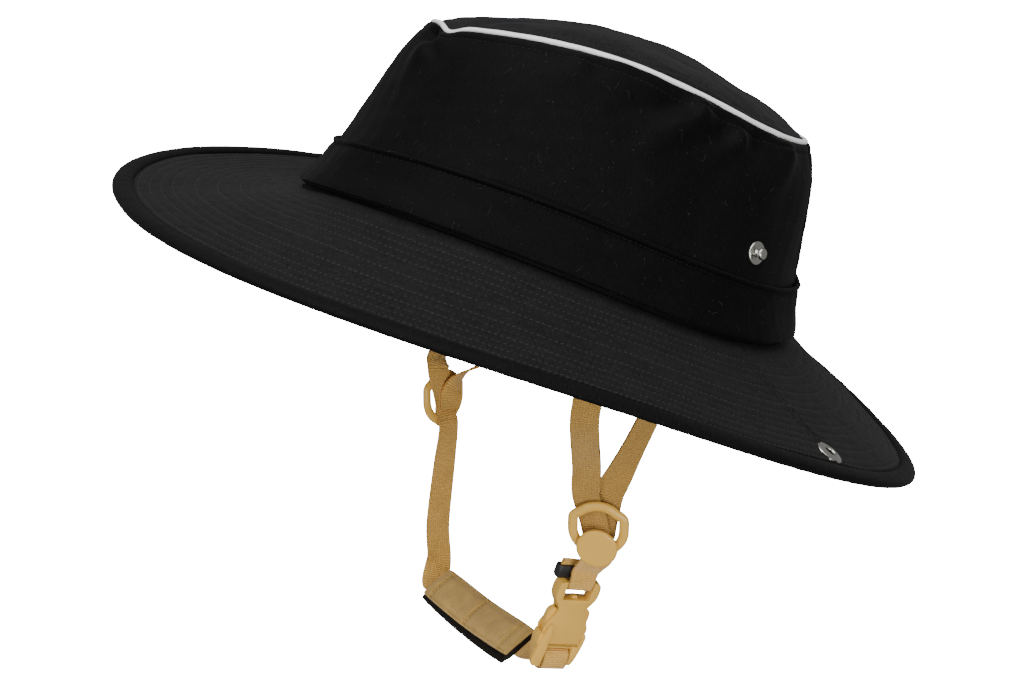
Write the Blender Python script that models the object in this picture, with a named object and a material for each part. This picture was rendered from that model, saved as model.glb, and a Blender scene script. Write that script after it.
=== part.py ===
# Wide-brimmed cotton sun hat with a webbing chin harness.
# Metres. +Z is up the crown, -Y is the front of the hat, +X is the wearer's left.
# The origin is the head's seat: the middle of the crown's foot.

import math

import bpy
import bmesh
from mathutils import Matrix, Vector

GAP = 0.0003

# Crown
CLOTH = 0.0016
FOOT_FRONT = 0.1361
FOOT_BACK = 0.1376
FOOT_HALF_WIDTH = 0.1154
SHOULDER_HEIGHT = 0.0326
SHOULDER_FRONT = 0.1234
SHOULDER_BACK = 0.1310
SHOULDER_HALF_WIDTH = 0.1102
TOP_HEIGHT = 0.1040
TOP_FRONT = 0.0970
TOP_BACK = 0.1137
TOP_HALF_WIDTH = 0.0800
TIP_DOME = 0.0090
CROWN_BULGE = 0.0036
PIPING_RADIUS = 0.0014

# Hat band
BAND_THICKNESS = 0.0014
BAND_HEM = 0.0035

# Brim
BRIM_FRONT = 0.2272
BRIM_BACK = 0.2230
BRIM_HALF_WIDTH = 0.1998
BRIM_DROP = 0.0290
BRIM_THICKNESS = 0.0026
BRIM_DISH = 0.22
HEM_WIDTH = 0.0105
HEM_THICKNESS = 0.0056

# How far each edge rises or dips as it goes round the head:
# pitch lifts the front, saddle lifts front and back, lean lifts the left, twist lifts the left front.
FOOT_WAVE = {"pitch": -0.0009, "saddle": -0.0011, "lean": 0.0057, "twist": 0.0083}
SHOULDER_WAVE = {"pitch": -0.0010, "saddle": -0.0029, "lean": 0.0057, "twist": 0.0083}
TOP_WAVE = {"pitch": 0.0011, "saddle": -0.0074, "lean": 0.0055, "twist": 0.0059}
BRIM_WAVE = {"pitch": 0.0067, "saddle": -0.0095, "lean": -0.0024, "twist": 0.0046}
ROUNDNESS = 2.2
SIDES = 64
# The most that share ** 5 * (1 - share) comes to, just under the top seam.
BULGE_PEAK = (5 / 6) ** 5 / 6

# Snap on the left rear quarter
SNAP_ANGLE = 122.8
SNAP_SHARE = 0.444
STUD_BASE_RADIUS = 0.0062
STUD_POST_RADIUS = 0.0019
STUD_CAP_RADIUS = 0.0031
STUD_LENGTH = 0.0052
EYELET_RADIUS = 0.0078
EYELET_HOLE = 0.0030
EYELET_THICKNESS = 0.0016
EYELET_SHARE = 0.79

# Chin harness
WEB_WIDTH = 0.0150
WEB_THICKNESS = 0.0013
STRAP_LIFT = 0.012
FRONT_ANCHOR = 76.0
REAR_ANCHOR = 113.0
RIGHT_FRONT_ANCHOR = 74.0
RIGHT_REAR_ANCHOR = 120.0
DIVIDER_HALF_WIDTH = 0.0160
DIVIDER_TOP = 0.0145
DIVIDER_BOTTOM = 0.0185
DIVIDER_ARCH = 0.0035
DIVIDER_BAR = 0.0046
DIVIDER_DEPTH = 0.0034
FRONT_ENTRY = 0.0072
REAR_ENTRY = 0.0048
REAR_SPREAD = 1.8
STRAP_END = -0.0015
BUTTON_RADIUS = 0.0102
BUTTON_DROP = 0.0098
BUTTON_THICKNESS = 0.0028

# Chin pad
PAD_WIDTH = 0.0215
PAD_THICKNESS = 0.0064
PAD_LINING = 0.0026
PAD_LINING_OFFSET = 0.0018

# Side-release buckle
BUCKLE_WIDTH = 0.0262
BUCKLE_THICKNESS = 0.0072
BUCKLE_BODY_FOOT = 0.0062
BUCKLE_LENGTH = 0.0455
BAR_RADIUS = 0.0018
TOP_BAR_INSET = 0.0026
WINDOW_HEIGHT = 0.0062


class Ring:
    """A level oval round the head whose height waves as it goes round."""

    def __init__(self, front, back, half_width, height, wave):
        self.front = front
        self.back = back
        self.half_width = half_width
        self.height = height
        self.wave = wave

    def point(self, angle):
        """Angle 0 is the front, 90 degrees is the wearer's left."""
        cosine = math.cos(angle)
        sine = math.sin(angle)
        radius = (abs(cosine) ** ROUNDNESS + abs(sine) ** ROUNDNESS) ** (-1.0 / ROUNDNESS)
        depth = self.front if cosine > 0 else self.back
        lift = (self.wave["pitch"] * cosine + self.wave["saddle"] * math.cos(2 * angle)
                + self.wave["lean"] * sine + self.wave["twist"] * math.sin(2 * angle))
        return Vector((self.half_width * sine * radius, -depth * cosine * radius, self.height + lift))


FOOT = Ring(FOOT_FRONT, FOOT_BACK, FOOT_HALF_WIDTH, 0.0, FOOT_WAVE)
SHOULDER = Ring(SHOULDER_FRONT, SHOULDER_BACK, SHOULDER_HALF_WIDTH, SHOULDER_HEIGHT, SHOULDER_WAVE)
TOP = Ring(TOP_FRONT, TOP_BACK, TOP_HALF_WIDTH, TOP_HEIGHT, TOP_WAVE)
RIM = Ring(BRIM_FRONT, BRIM_BACK, BRIM_HALF_WIDTH, -BRIM_DROP, BRIM_WAVE)


def wall_point(angle, share):
    """A point on the band and crown's outer face, from the foot at 0 to the top seam at 1."""
    middle = SHOULDER_HEIGHT / TOP_HEIGHT
    foot_weight = (share - middle) * (share - 1) / middle
    shoulder_weight = share * (share - 1) / (middle * (middle - 1))
    top_weight = share * (share - middle) / (1 - middle)
    place = (foot_weight * FOOT.point(angle) + shoulder_weight * SHOULDER.point(angle)
             + top_weight * TOP.point(angle))
    bulge = CROWN_BULGE * share ** 5 * (1 - share) / BULGE_PEAK
    return place + Vector((math.sin(angle), -math.cos(angle), 0.0)) * bulge


def wall_frame(angle, share):
    """The way round, the way up and the way out at a point on the crown's outer face."""
    step = 0.01
    around = (wall_point(angle + step, share) - wall_point(angle - step, share)).normalized()
    upward = (wall_point(angle, share + step) - wall_point(angle, share - step)).normalized()
    return around, upward, around.cross(upward).normalized()


def crown_point(angle, share, depth):
    """A point at a depth inside the crown's outer face."""
    return wall_point(angle, share) - wall_frame(angle, share)[2] * depth


def brim_point(angle, share, lift=0.0):
    """A point on the brim's top, from the crown's foot at 0 to the rim at 1, raised along its normal."""
    def surface(turn, out):
        foot = FOOT.point(turn)
        rim = RIM.point(turn)
        place = foot.lerp(rim, out)
        place.z = foot.z + (rim.z - foot.z) * (out + BRIM_DISH * out * (1 - out))
        return place
    step = 0.01
    around = surface(angle + step, share) - surface(angle - step, share)
    outward = surface(angle, share + step) - surface(angle, share - step)
    return surface(angle, share) + outward.cross(around).normalized() * lift


def brim_share(angle, distance):
    """The share of the brim's width that a distance in from the rim comes to."""
    return 1 - distance / (RIM.point(angle) - FOOT.point(angle)).length


def brim_seat(angle, depth, lift):
    """A point over the brim's inner edge, at a depth in from the crown's outer face."""
    return brim_point(angle, -depth / (RIM.point(angle) - FOOT.point(angle)).length, lift)


def clear_scene():
    for item in list(bpy.data.objects):
        bpy.data.objects.remove(item, do_unlink=True)


def material(name, colour, roughness, metallic=0.0):
    made = bpy.data.materials.new(name)
    made.use_nodes = True
    shader = made.node_tree.nodes["Principled BSDF"]
    shader.inputs["Base Color"].default_value = (*colour, 1.0)
    shader.inputs["Roughness"].default_value = roughness
    shader.inputs["Metallic"].default_value = metallic
    return made


BLACK_COTTON = {"colour": (0.012, 0.012, 0.013), "roughness": 0.92}
WHITE_PIPING = {"colour": (0.86, 0.86, 0.84), "roughness": 0.65}
TAN_WEBBING = {"colour": (0.62, 0.42, 0.20), "roughness": 0.85}
TAN_PLASTIC = {"colour": (0.70, 0.51, 0.27), "roughness": 0.42}
BLACK_PLASTIC = {"colour": (0.010, 0.010, 0.011), "roughness": 0.45}
STEEL = {"colour": (0.62, 0.61, 0.59), "roughness": 0.24, "metallic": 1.0}


def add_object(name, mesh_builder, finish):
    """Make an object from a bmesh with its faces pointing out and its own material."""
    bmesh.ops.recalc_face_normals(mesh_builder, faces=mesh_builder.faces[:])
    mesh = bpy.data.meshes.new(name)
    mesh_builder.to_mesh(mesh)
    mesh_builder.free()
    made = bpy.data.objects.new(name, mesh)
    bpy.context.collection.objects.link(made)
    mesh.materials.append(material(name, **finish))
    mesh.shade_smooth()
    mesh.set_sharp_from_angle(angle=math.radians(35))
    return made


def closed_sweep(name, sections, finish):
    """Join closed sections into one ring that meets itself, such as a band or a hem."""
    builder = bmesh.new()
    rings = [[builder.verts.new(point) for point in section] for section in sections]
    count = len(rings[0])
    for index, ring in enumerate(rings):
        following = rings[(index + 1) % len(rings)]
        for corner in range(count):
            after = (corner + 1) % count
            builder.faces.new((ring[corner], following[corner], following[after], ring[after]))
    return add_object(name, builder, finish)


def open_sweep(name, sections, finish):
    """Join closed sections into one bar with a flat cap at each end."""
    builder = bmesh.new()
    rings = [[builder.verts.new(point) for point in section] for section in sections]
    count = len(rings[0])
    for ring, following in zip(rings, rings[1:]):
        for corner in range(count):
            after = (corner + 1) % count
            builder.faces.new((ring[corner], following[corner], following[after], ring[after]))
    builder.faces.new(rings[0])
    builder.faces.new(rings[-1])
    return add_object(name, builder, finish)


def turned(name, profile, place, finish, sides=20):
    """Turn a closed profile of (radius, height) pairs about the place's own +Z."""
    sections = []
    for index in range(sides):
        turn = 2 * math.pi * index / sides
        sections.append([place @ Vector((radius * math.cos(turn), radius * math.sin(turn), height))
                         for radius, height in profile])
    return closed_sweep(name, sections, finish)


def around_head(section_at):
    return [section_at(2 * math.pi * index / SIDES) for index in range(SIDES)]


def make_crown_side():
    depth = BAND_THICKNESS + GAP
    top_gap = 1 - (PIPING_RADIUS + GAP) / TOP_HEIGHT
    shares = [0.15, 0.32, 0.50, 0.68, 0.85, top_gap]

    def section(angle):
        outer = [brim_seat(angle, depth, GAP)]
        outer += [crown_point(angle, share, depth) for share in shares]
        inner = [crown_point(angle, share, depth + CLOTH) for share in reversed(shares)]
        inner += [brim_seat(angle, depth + CLOTH, GAP)]
        return outer + inner
    return closed_sweep("crown_side", around_head(section), BLACK_COTTON)


def make_hat_band():
    top = SHOULDER_HEIGHT / TOP_HEIGHT
    fold = top - BAND_HEM / TOP_HEIGHT
    shares = [0.5 * fold, fold, top]

    def section(angle):
        outer = [brim_seat(angle, 0.0, 2 * GAP)]
        outer += [crown_point(angle, share, 0.0) for share in shares]
        inner = [crown_point(angle, share, BAND_THICKNESS) for share in reversed(shares)]
        inner += [brim_seat(angle, BAND_THICKNESS, 2 * GAP)]
        return outer + inner
    return closed_sweep("hat_band", around_head(section), BLACK_COTTON)


def piping_centre(angle):
    return crown_point(angle, 1.0, BAND_THICKNESS + GAP + 0.5 * CLOTH - 0.0002)


def make_crown_piping():
    def section(angle):
        centre = piping_centre(angle)
        around, upward, outward = wall_frame(angle, 1.0)
        points = []
        for index in range(6):
            turn = 2 * math.pi * index / 6
            points.append(centre + PIPING_RADIUS * (outward * math.cos(turn) + upward * math.sin(turn)))
        return points
    return closed_sweep("crown_piping", around_head(section), WHITE_PIPING)


def make_crown_tip():
    """The top panel: a shallow dome whose edge meets the piping from inside."""
    builder = bmesh.new()
    middle = Vector((0.0, 0.5 * (TOP_BACK - TOP_FRONT), TOP_HEIGHT))
    inset = PIPING_RADIUS + GAP
    shares = [0.0, 0.10, 0.26, 0.48, 0.74]

    def sheet(lift):
        rings = []
        for share in shares:
            ring = []
            for index in range(SIDES):
                angle = 2 * math.pi * index / SIDES
                edge = piping_centre(angle)
                inward = (middle - edge)
                inward.z = 0.0
                rim = edge + inward.normalized() * inset
                place = rim.lerp(middle, share)
                place.z += TIP_DOME * math.sin(0.5 * math.pi * share) + lift
                ring.append(builder.verts.new(place))
            rings.append(ring)
        crest = builder.verts.new(middle + Vector((0, 0, TIP_DOME + lift)))
        for ring, following in zip(rings, rings[1:]):
            for index in range(SIDES):
                after = (index + 1) % SIDES
                builder.faces.new((ring[index], ring[after], following[after], following[index]))
        for index in range(SIDES):
            builder.faces.new((rings[-1][index], rings[-1][(index + 1) % SIDES], crest))
        return rings[0]

    upper = sheet(0.5 * CLOTH)
    lower = sheet(-0.5 * CLOTH)
    for index in range(SIDES):
        after = (index + 1) % SIDES
        builder.faces.new((upper[index], lower[index], lower[after], upper[after]))
    return add_object("crown_tip", builder, BLACK_COTTON)


def make_brim():
    def section(angle):
        edge = brim_share(angle, HEM_WIDTH + GAP)
        shares = [0.0, 0.15 * edge, 0.36 * edge, 0.60 * edge, 0.82 * edge, edge]
        seam = BAND_THICKNESS + GAP + CLOTH
        upper = [brim_seat(angle, seam, 0.0)] + [brim_point(angle, share) for share in shares[1:]]
        lower = [brim_point(angle, share, -BRIM_THICKNESS) for share in reversed(shares[1:])]
        return upper + lower + [brim_seat(angle, seam - 0.5 * BRIM_THICKNESS, -BRIM_THICKNESS)]
    return closed_sweep("brim", around_head(section), BLACK_COTTON)


def make_brim_hem():
    def section(angle):
        centre_share = brim_share(angle, 0.5 * HEM_WIDTH)
        centre = brim_point(angle, centre_share, -0.5 * BRIM_THICKNESS)
        outward = (brim_point(angle, 1.0) - brim_point(angle, centre_share)).normalized()
        upward = (brim_point(angle, centre_share, 0.001) - brim_point(angle, centre_share)).normalized()
        points = []
        for index in range(8):
            turn = 2 * math.pi * (index + 0.5) / 8
            points.append(centre + outward * (0.5 * HEM_WIDTH * math.cos(turn) / math.cos(math.pi / 8))
                          + upward * (0.5 * HEM_THICKNESS * math.sin(turn)))
        return points
    return closed_sweep("brim_hem", around_head(section), BLACK_COTTON)


def frame_matrix(origin, across, upward):
    """A frame whose X is across, whose Y is up and whose Z faces out."""
    up_axis = upward.normalized()
    out_axis = across.cross(up_axis).normalized()
    across_axis = up_axis.cross(out_axis).normalized()
    turn = Matrix((across_axis, up_axis, out_axis)).transposed().to_4x4()
    return Matrix.Translation(origin) @ turn


def make_snap():
    angle = math.radians(SNAP_ANGLE)
    around, upward, outward = wall_frame(angle, SNAP_SHARE)
    seat = crown_point(angle, SNAP_SHARE, BAND_THICKNESS + GAP) + outward * GAP
    place = frame_matrix(seat, around, upward)
    washer = 0.0009
    profile = [(0.0004, 0.0), (STUD_BASE_RADIUS, 0.0), (STUD_BASE_RADIUS, 0.4 * washer),
               (0.8 * STUD_BASE_RADIUS, washer), (STUD_POST_RADIUS, washer),
               (STUD_POST_RADIUS, 0.5 * STUD_LENGTH), (STUD_CAP_RADIUS, 0.62 * STUD_LENGTH),
               (STUD_CAP_RADIUS, 0.8 * STUD_LENGTH), (0.6 * STUD_CAP_RADIUS, STUD_LENGTH),
               (0.0004, STUD_LENGTH)]
    turned("snap_post", profile, place, STEEL, sides=16)

    seat = brim_point(angle, EYELET_SHARE, GAP)
    across = brim_point(angle + 0.01, EYELET_SHARE) - brim_point(angle - 0.01, EYELET_SHARE)
    outward = brim_point(angle, EYELET_SHARE + 0.01) - brim_point(angle, EYELET_SHARE - 0.01)
    place = frame_matrix(seat, outward, across)
    profile = [(EYELET_HOLE, 0.0), (EYELET_RADIUS, 0.0), (EYELET_RADIUS, 0.3 * EYELET_THICKNESS),
               (0.72 * EYELET_RADIUS, 0.55 * EYELET_THICKNESS),
               (1.45 * EYELET_HOLE, EYELET_THICKNESS), (1.1 * EYELET_HOLE, EYELET_THICKNESS)]
    turned("snap_socket", profile, place, STEEL, sides=20)


def smooth_path(points, steps):
    """Points along a Catmull-Rom curve through the given ones."""
    ends = [2 * points[0] - points[1]] + list(points) + [2 * points[-1] - points[-2]]
    path = []
    for index in range(1, len(ends) - 2):
        before, start, end, after = ends[index - 1:index + 3]
        for step in range(steps):
            t = step / steps
            path.append(0.5 * (2 * start + (end - before) * t
                               + (2 * before - 5 * start + 4 * end - after) * t * t
                               + (3 * start - before - 3 * end + after) * t ** 3))
    path.append(points[-1])
    return path


def make_strap(name, stations, finish, steps=3, width=WEB_WIDTH, thickness=WEB_THICKNESS):
    """A flat strap through stations of (place, way across), its width turning evenly between them."""
    path = smooth_path([Vector(place) for place, across in stations], steps)
    across_path = smooth_path([Vector(across) for place, across in stations], steps)
    sections = []
    for index, place in enumerate(path):
        before = path[max(index - 1, 0)]
        after = path[min(index + 1, len(path) - 1)]
        along = (after - before).normalized()
        across = across_path[index]
        across = (across - along * across.dot(along)).normalized()
        normal = along.cross(across).normalized()
        side = 0.5 * width * across
        face = 0.5 * thickness * normal
        sections.append([place - side - face, place + side - face, place + side + face, place - side + face])
    return open_sweep(name, sections, finish)


def strap_anchor(angle_degrees, side):
    """Where a strap is sewn to the crown's inner face: two stations down the wall."""
    angle = math.radians(angle_degrees) * side
    hollow = WEB_WIDTH ** 2 / (3 * FOOT_HALF_WIDTH)
    depth = BAND_THICKNESS + GAP + CLOTH + GAP + hollow + 0.5 * WEB_THICKNESS
    around = wall_frame(angle, 0.05)[0]
    high = crown_point(angle, STRAP_LIFT / TOP_HEIGHT, depth)
    low = crown_point(angle, 0.0, depth)
    drop = Vector((-0.0012 * side, 0.0, -0.012))
    return [(high, around), (low, around), (low + drop, around)]


# The harness hangs free. Each divider's middle, its way across and its way up.
LEFT_DIVIDER = frame_matrix(Vector((0.0920, 0.0395, -0.1151)), Vector((0.45, 0.87, 0.20)),
                            Vector((0.12, -0.36, 0.925)))
RIGHT_DIVIDER = frame_matrix(Vector((-0.0880, 0.0052, -0.1161)), Vector((0.45, -0.87, 0.10)),
                             Vector((-0.10, -0.31, 0.945)))
# The buckle's frame stands at the middle of its lower bar.
BUCKLE = frame_matrix(Vector((0.0700, 0.0545, -0.1929)), Vector((-0.21, 0.97, 0.05)),
                      Vector((0.12, -0.14, 0.98)))
# Where each free strap bends between its ends.
LEFT_FRONT_MIDDLE = Vector((0.1015, 0.0085, -0.0610))
LEFT_REAR_MIDDLE = Vector((0.1000, 0.0425, -0.0570))
RIGHT_FRONT_MIDDLE = Vector((-0.1000, -0.0095, -0.0750))
RIGHT_REAR_MIDDLE = Vector((-0.0935, 0.0250, -0.0840))
RIGHT_FRONT_ACROSS = Vector((0.70, -0.70, 0.15))
RIGHT_REAR_ACROSS = Vector((0.80, -0.55, 0.05))
RIGHT_LOWER_HIGH = Vector((-0.0865, 0.0185, -0.1600))
RIGHT_LOWER_LOW = Vector((-0.0875, 0.0280, -0.1990))
PAD_LEFT_END = Vector((0.0380, 0.0452, -0.2037))
PAD_MIDDLE = Vector((-0.0180, 0.0398, -0.2127))
PAD_RIGHT_END = Vector((-0.0740, 0.0322, -0.2197))
PAD_ACROSS = Vector((-0.10, 0.62, 0.78))


def turn_axis(frame, column):
    return frame.to_3x3().col[column].copy()


def divider_outline(turn, shrink):
    """A rounded triangle, wide at the top, as the outline round three circles."""
    corner = 0.0058
    foot = 0.0080
    shoulder = DIVIDER_TOP - DIVIDER_ARCH - corner
    circles = [(Vector((DIVIDER_HALF_WIDTH - corner, shoulder)), corner),
               (Vector((corner - DIVIDER_HALF_WIDTH, shoulder)), corner),
               (Vector((0.0, DIVIDER_TOP - DIVIDER_HALF_WIDTH)), DIVIDER_HALF_WIDTH),
               (Vector((0.0, foot - DIVIDER_BOTTOM)), foot)]
    way = Vector((math.cos(turn), math.sin(turn)))
    centre, radius = max(circles, key=lambda item: item[0].dot(way) + item[1])
    return centre + way * (radius - shrink), way


def make_divider(name, frame, lift):
    sections = []
    for index in range(28):
        turn = 2 * math.pi * (index + 0.5) / 28
        middle, way = divider_outline(turn, 0.5 * DIVIDER_BAR)
        section = []
        for corner in range(6):
            around = 2 * math.pi * corner / 6
            flat = middle + way * (0.5 * DIVIDER_BAR * math.cos(around))
            section.append(frame @ Vector((flat.x, flat.y, lift + 0.5 * DIVIDER_DEPTH * math.sin(around))))
        sections.append(section)
    return closed_sweep(name, sections, TAN_PLASTIC)


def divider_lift():
    """The ring lies outside the straps that pass behind its top bar."""
    return 0.5 * (WEB_THICKNESS + DIVIDER_DEPTH) + GAP


def make_button():
    top = divider_lift() + 0.5 * DIVIDER_DEPTH + GAP
    place = LEFT_DIVIDER @ Matrix.Translation((0.0, -BUTTON_DROP, top))
    edge = 0.25 * BUTTON_THICKNESS
    profile = [(0.0004, 0.0), (BUTTON_RADIUS - edge, 0.0), (BUTTON_RADIUS, edge),
               (BUTTON_RADIUS, BUTTON_THICKNESS - edge), (BUTTON_RADIUS - edge, BUTTON_THICKNESS),
               (0.0004, BUTTON_THICKNESS)]
    return turned("left_divider_button", profile, place, TAN_PLASTIC, sides=24)


def divider_stations(frame, start, entry, depth, end):
    """Stations of a strap that goes behind a divider's top bar and ends inside it."""
    across = turn_axis(frame, 0)
    lean = 0.35 * entry / DIVIDER_HALF_WIDTH
    tilted = (across - lean * turn_axis(frame, 1)).normalized()
    return [(frame @ Vector((start, DIVIDER_TOP + 0.018, 2.0 * depth)), tilted),
            (frame @ Vector((entry, DIVIDER_TOP + 0.003, depth)), tilted),
            (frame @ Vector((0.45 * entry, 0.3 * DIVIDER_TOP, depth)), across),
            (frame @ Vector((0.1 * entry, end, depth)), across)]


def make_upper_straps():
    behind = -(WEB_THICKNESS + 3 * GAP)
    routes = [
        ("left_front_strap", FRONT_ANCHOR, 1, LEFT_DIVIDER, -FRONT_ENTRY, 0.0, LEFT_FRONT_MIDDLE, None),
        ("left_rear_strap", REAR_ANCHOR, 1, LEFT_DIVIDER, REAR_ENTRY, behind, LEFT_REAR_MIDDLE, None),
        ("right_front_strap", RIGHT_FRONT_ANCHOR, -1, RIGHT_DIVIDER, FRONT_ENTRY, 0.0, RIGHT_FRONT_MIDDLE,
         RIGHT_FRONT_ACROSS),
        ("right_rear_strap", RIGHT_REAR_ANCHOR, -1, RIGHT_DIVIDER, -REAR_ENTRY, behind, RIGHT_REAR_MIDDLE,
         RIGHT_REAR_ACROSS),
    ]
    for name, anchor, side, divider, entry, depth, middle, turned_across in routes:
        stations = strap_anchor(anchor, side)
        across = turn_axis(divider, 0)
        wall_across = stations[-1][1]
        if wall_across.dot(across) < 0:
            stations = [(place, -way) for place, way in stations]
            wall_across = -wall_across
        stations.append((middle, turned_across or (wall_across + across).normalized()))
        start = entry * (REAR_SPREAD if depth else 1.0)
        stations += divider_stations(divider, start, entry, depth, STRAP_END)
        make_strap(name, stations, TAN_WEBBING)


def bar_wrap(frame, side, radius, start, end, count):
    """Places round a bar through a frame's origin, in the plane across the bar, with angles from +Z."""
    places = []
    for index in range(count):
        turn = math.radians(start + (end - start) * index / (count - 1))
        places.append(frame @ Vector((side, radius * math.sin(turn), radius * math.cos(turn))))
    return places


def make_left_lower_strap():
    """From under the button to the buckle's top bar, round it, and up behind to its tail."""
    across_top = turn_axis(LEFT_DIVIDER, 0)
    across = turn_axis(BUCKLE, 0)
    bar = BUCKLE @ Matrix.Translation((0.0, BUCKLE_LENGTH - TOP_BAR_INSET, 0.0))
    radius = BAR_RADIUS + GAP + 0.5 * WEB_THICKNESS
    stations = [(LEFT_DIVIDER @ Vector((0.0, -0.0055, 0.0)), across_top),
                (LEFT_DIVIDER @ Vector((0.0, -0.0130, -0.0002)), across_top),
                (LEFT_DIVIDER @ Vector((0.0, -0.0190, -0.0008)), across_top)]
    stations.append((bar @ Vector((0.0, 0.0100, radius)), (0.3 * across_top + 0.7 * across).normalized()))
    stations.append((bar @ Vector((0.0, 0.0050, radius)), across))
    stations += [(place, across) for place in bar_wrap(bar, 0.0, radius, 0, -180, 6)]
    stations.append((bar @ Vector((0.0, 0.0070, -radius - 0.0004)), across))
    stations.append((bar @ Vector((0.0, 0.0150, -radius - 0.0012)), across))
    return make_strap("left_lower_strap", stations, TAN_WEBBING, steps=2)


def make_strap_keeper():
    """A black slide that holds the tail of the left strap behind the buckle's top frame."""
    bar = BUCKLE @ Matrix.Translation((0.0, BUCKLE_LENGTH - TOP_BAR_INSET, 0.0))
    radius = BAR_RADIUS + GAP + 0.5 * WEB_THICKNESS
    half = 0.5 * WEB_WIDTH + GAP
    wall = 0.0016
    clear = 0.5 * WEB_THICKNESS + GAP
    height = 0.0060
    centre = -radius - 0.0006
    sections = []
    for across, depth in ((half, clear), (half, -clear), (-half, -clear), (-half, clear)):
        wide = across + math.copysign(wall, across)
        deep = depth + math.copysign(wall, depth)
        low = 0.0062
        section = []
        for place_across, place_depth, place_up in ((across, depth, low), (wide, deep, low),
                                                    (wide, deep, low + height), (across, depth, low + height)):
            section.append(bar @ Vector((place_across, place_up, centre + place_depth)))
        sections.append(section)
    return closed_sweep("strap_keeper", sections, BLACK_PLASTIC)


def prism(name, outline, low, high, frame, finish):
    """An outline drawn across and up in a frame, made thick along the way out."""
    sections = []
    for depth in (low, high):
        sections.append([frame @ Vector((across, up, depth)) for across, up in outline])
    return open_sweep(name, sections, finish)


def cut(target, cutter):
    cutter.hide_render = True
    cutter.display_type = "WIRE"
    modifier = target.modifiers.new(cutter.name, "BOOLEAN")
    modifier.operation = "DIFFERENCE"
    modifier.object = cutter


def join_solid(target, other):
    other.hide_render = True
    other.display_type = "WIRE"
    modifier = target.modifiers.new(other.name, "BOOLEAN")
    modifier.operation = "UNION"
    modifier.object = other


def rectangle(half_width, low, high):
    return [(-half_width, low), (half_width, low), (half_width, high), (-half_width, high)]


def round_bar(name, frame, half_length):
    """A round bar along a frame's way across."""
    sections = []
    for across in (-half_length, half_length):
        section = []
        for corner in range(8):
            turn = 2 * math.pi * corner / 8
            section.append(frame @ Vector((across, BAR_RADIUS * math.sin(turn), BAR_RADIUS * math.cos(turn))))
        sections.append(section)
    return open_sweep(name, sections, TAN_PLASTIC)


def make_buckle():
    half = 0.5 * BUCKLE_WIDTH
    depth = 0.5 * BUCKLE_THICKNESS
    foot = BUCKLE_BODY_FOOT
    top = BUCKLE_LENGTH
    # Right half of the socket's outline: share of half the width, share of the body's length.
    edge = [(1.00, 0.00), (1.00, 0.28), (0.94, 0.34), (0.70, 0.42), (0.62, 0.50), (0.66, 0.58),
            (0.86, 0.68), (0.92, 0.76), (0.92, 0.90), (0.84, 0.97), (0.70, 1.00)]
    right = [(half * across, foot + (top - foot) * up) for across, up in edge]
    outline = right + [(-across, up) for across, up in reversed(right)]
    socket = prism("buckle_socket", outline, -depth, depth, BUCKLE, TAN_PLASTIC)

    bar_place = BUCKLE @ Matrix.Translation((0.0, top - TOP_BAR_INSET, 0.0))
    window_low = top - TOP_BAR_INSET - BAR_RADIUS - WINDOW_HEIGHT
    reach = 2 * BUCKLE_THICKNESS
    web_half = 0.5 * WEB_WIDTH + 2 * GAP
    window = prism("window_cutter", rectangle(web_half, window_low, top + reach), -reach, reach, BUCKLE,
                   TAN_PLASTIC)
    cut(socket, window)
    mouth = foot + 0.55 * (top - foot) - 0.0005
    cavity = prism("cavity_cutter", rectangle(half - 0.0016, foot - reach, mouth), 0.0016 - depth,
                   depth - 0.0016, BUCKLE, TAN_PLASTIC)
    cut(socket, cavity)
    join_solid(socket, round_bar("top_bar", bar_place, web_half + 0.0005))

    # The plug: two cheeks and a bar for the webbing, a plate, and two arms with a middle tongue.
    seat = foot - GAP
    plate_low = 0.0042
    plug_depth = depth
    arm_depth = depth - 0.0016 - GAP
    plug = prism("buckle_plug", rectangle(half, plate_low, seat), -plug_depth, plug_depth, BUCKLE,
                 TAN_PLASTIC)
    web_half = 0.5 * WEB_WIDTH + 2 * GAP
    for side in (-1, 1):
        outline = [(side * web_half, -0.0036), (side * half * 0.94, -0.0024), (side * half, 0.0010),
                   (side * half, plate_low + 0.0005), (side * web_half, plate_low + 0.0005)]
        if side < 0:
            outline.reverse()
        cheek = prism("cheek_%s" % ("right" if side < 0 else "left"), outline, -plug_depth, plug_depth,
                      BUCKLE, TAN_PLASTIC)
        join_solid(plug, cheek)
        reach_up = mouth - 0.0015
        inner = 0.46 * half
        outer = half - 0.0016 - GAP
        arm = [(side * inner, seat - 0.0005), (side * outer, seat - 0.0005), (side * outer, 0.55 * reach_up),
               (side * 0.80 * outer, 0.85 * reach_up), (side * 0.66 * outer, reach_up),
               (side * 0.50 * outer, 0.92 * reach_up), (side * inner * 1.15, 0.55 * reach_up)]
        if side < 0:
            arm.reverse()
        prong = prism("arm_%s" % ("right" if side < 0 else "left"), arm, -arm_depth, arm_depth, BUCKLE,
                      TAN_PLASTIC)
        join_solid(plug, prong)
    tongue = prism("tongue", rectangle(0.2 * half, seat - 0.0005, 0.8 * mouth), -arm_depth, arm_depth, BUCKLE,
                   TAN_PLASTIC)
    join_solid(plug, tongue)
    join_solid(plug, round_bar("loop_bar", BUCKLE, web_half + 0.0005))


def pad_normal():
    along = (PAD_LEFT_END - PAD_RIGHT_END).normalized()
    across = (PAD_ACROSS - along * PAD_ACROSS.dot(along)).normalized()
    normal = along.cross(across).normalized()
    return along, across, normal


def pad_path():
    return smooth_path([PAD_RIGHT_END, PAD_MIDDLE, PAD_LEFT_END], 4)


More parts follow.
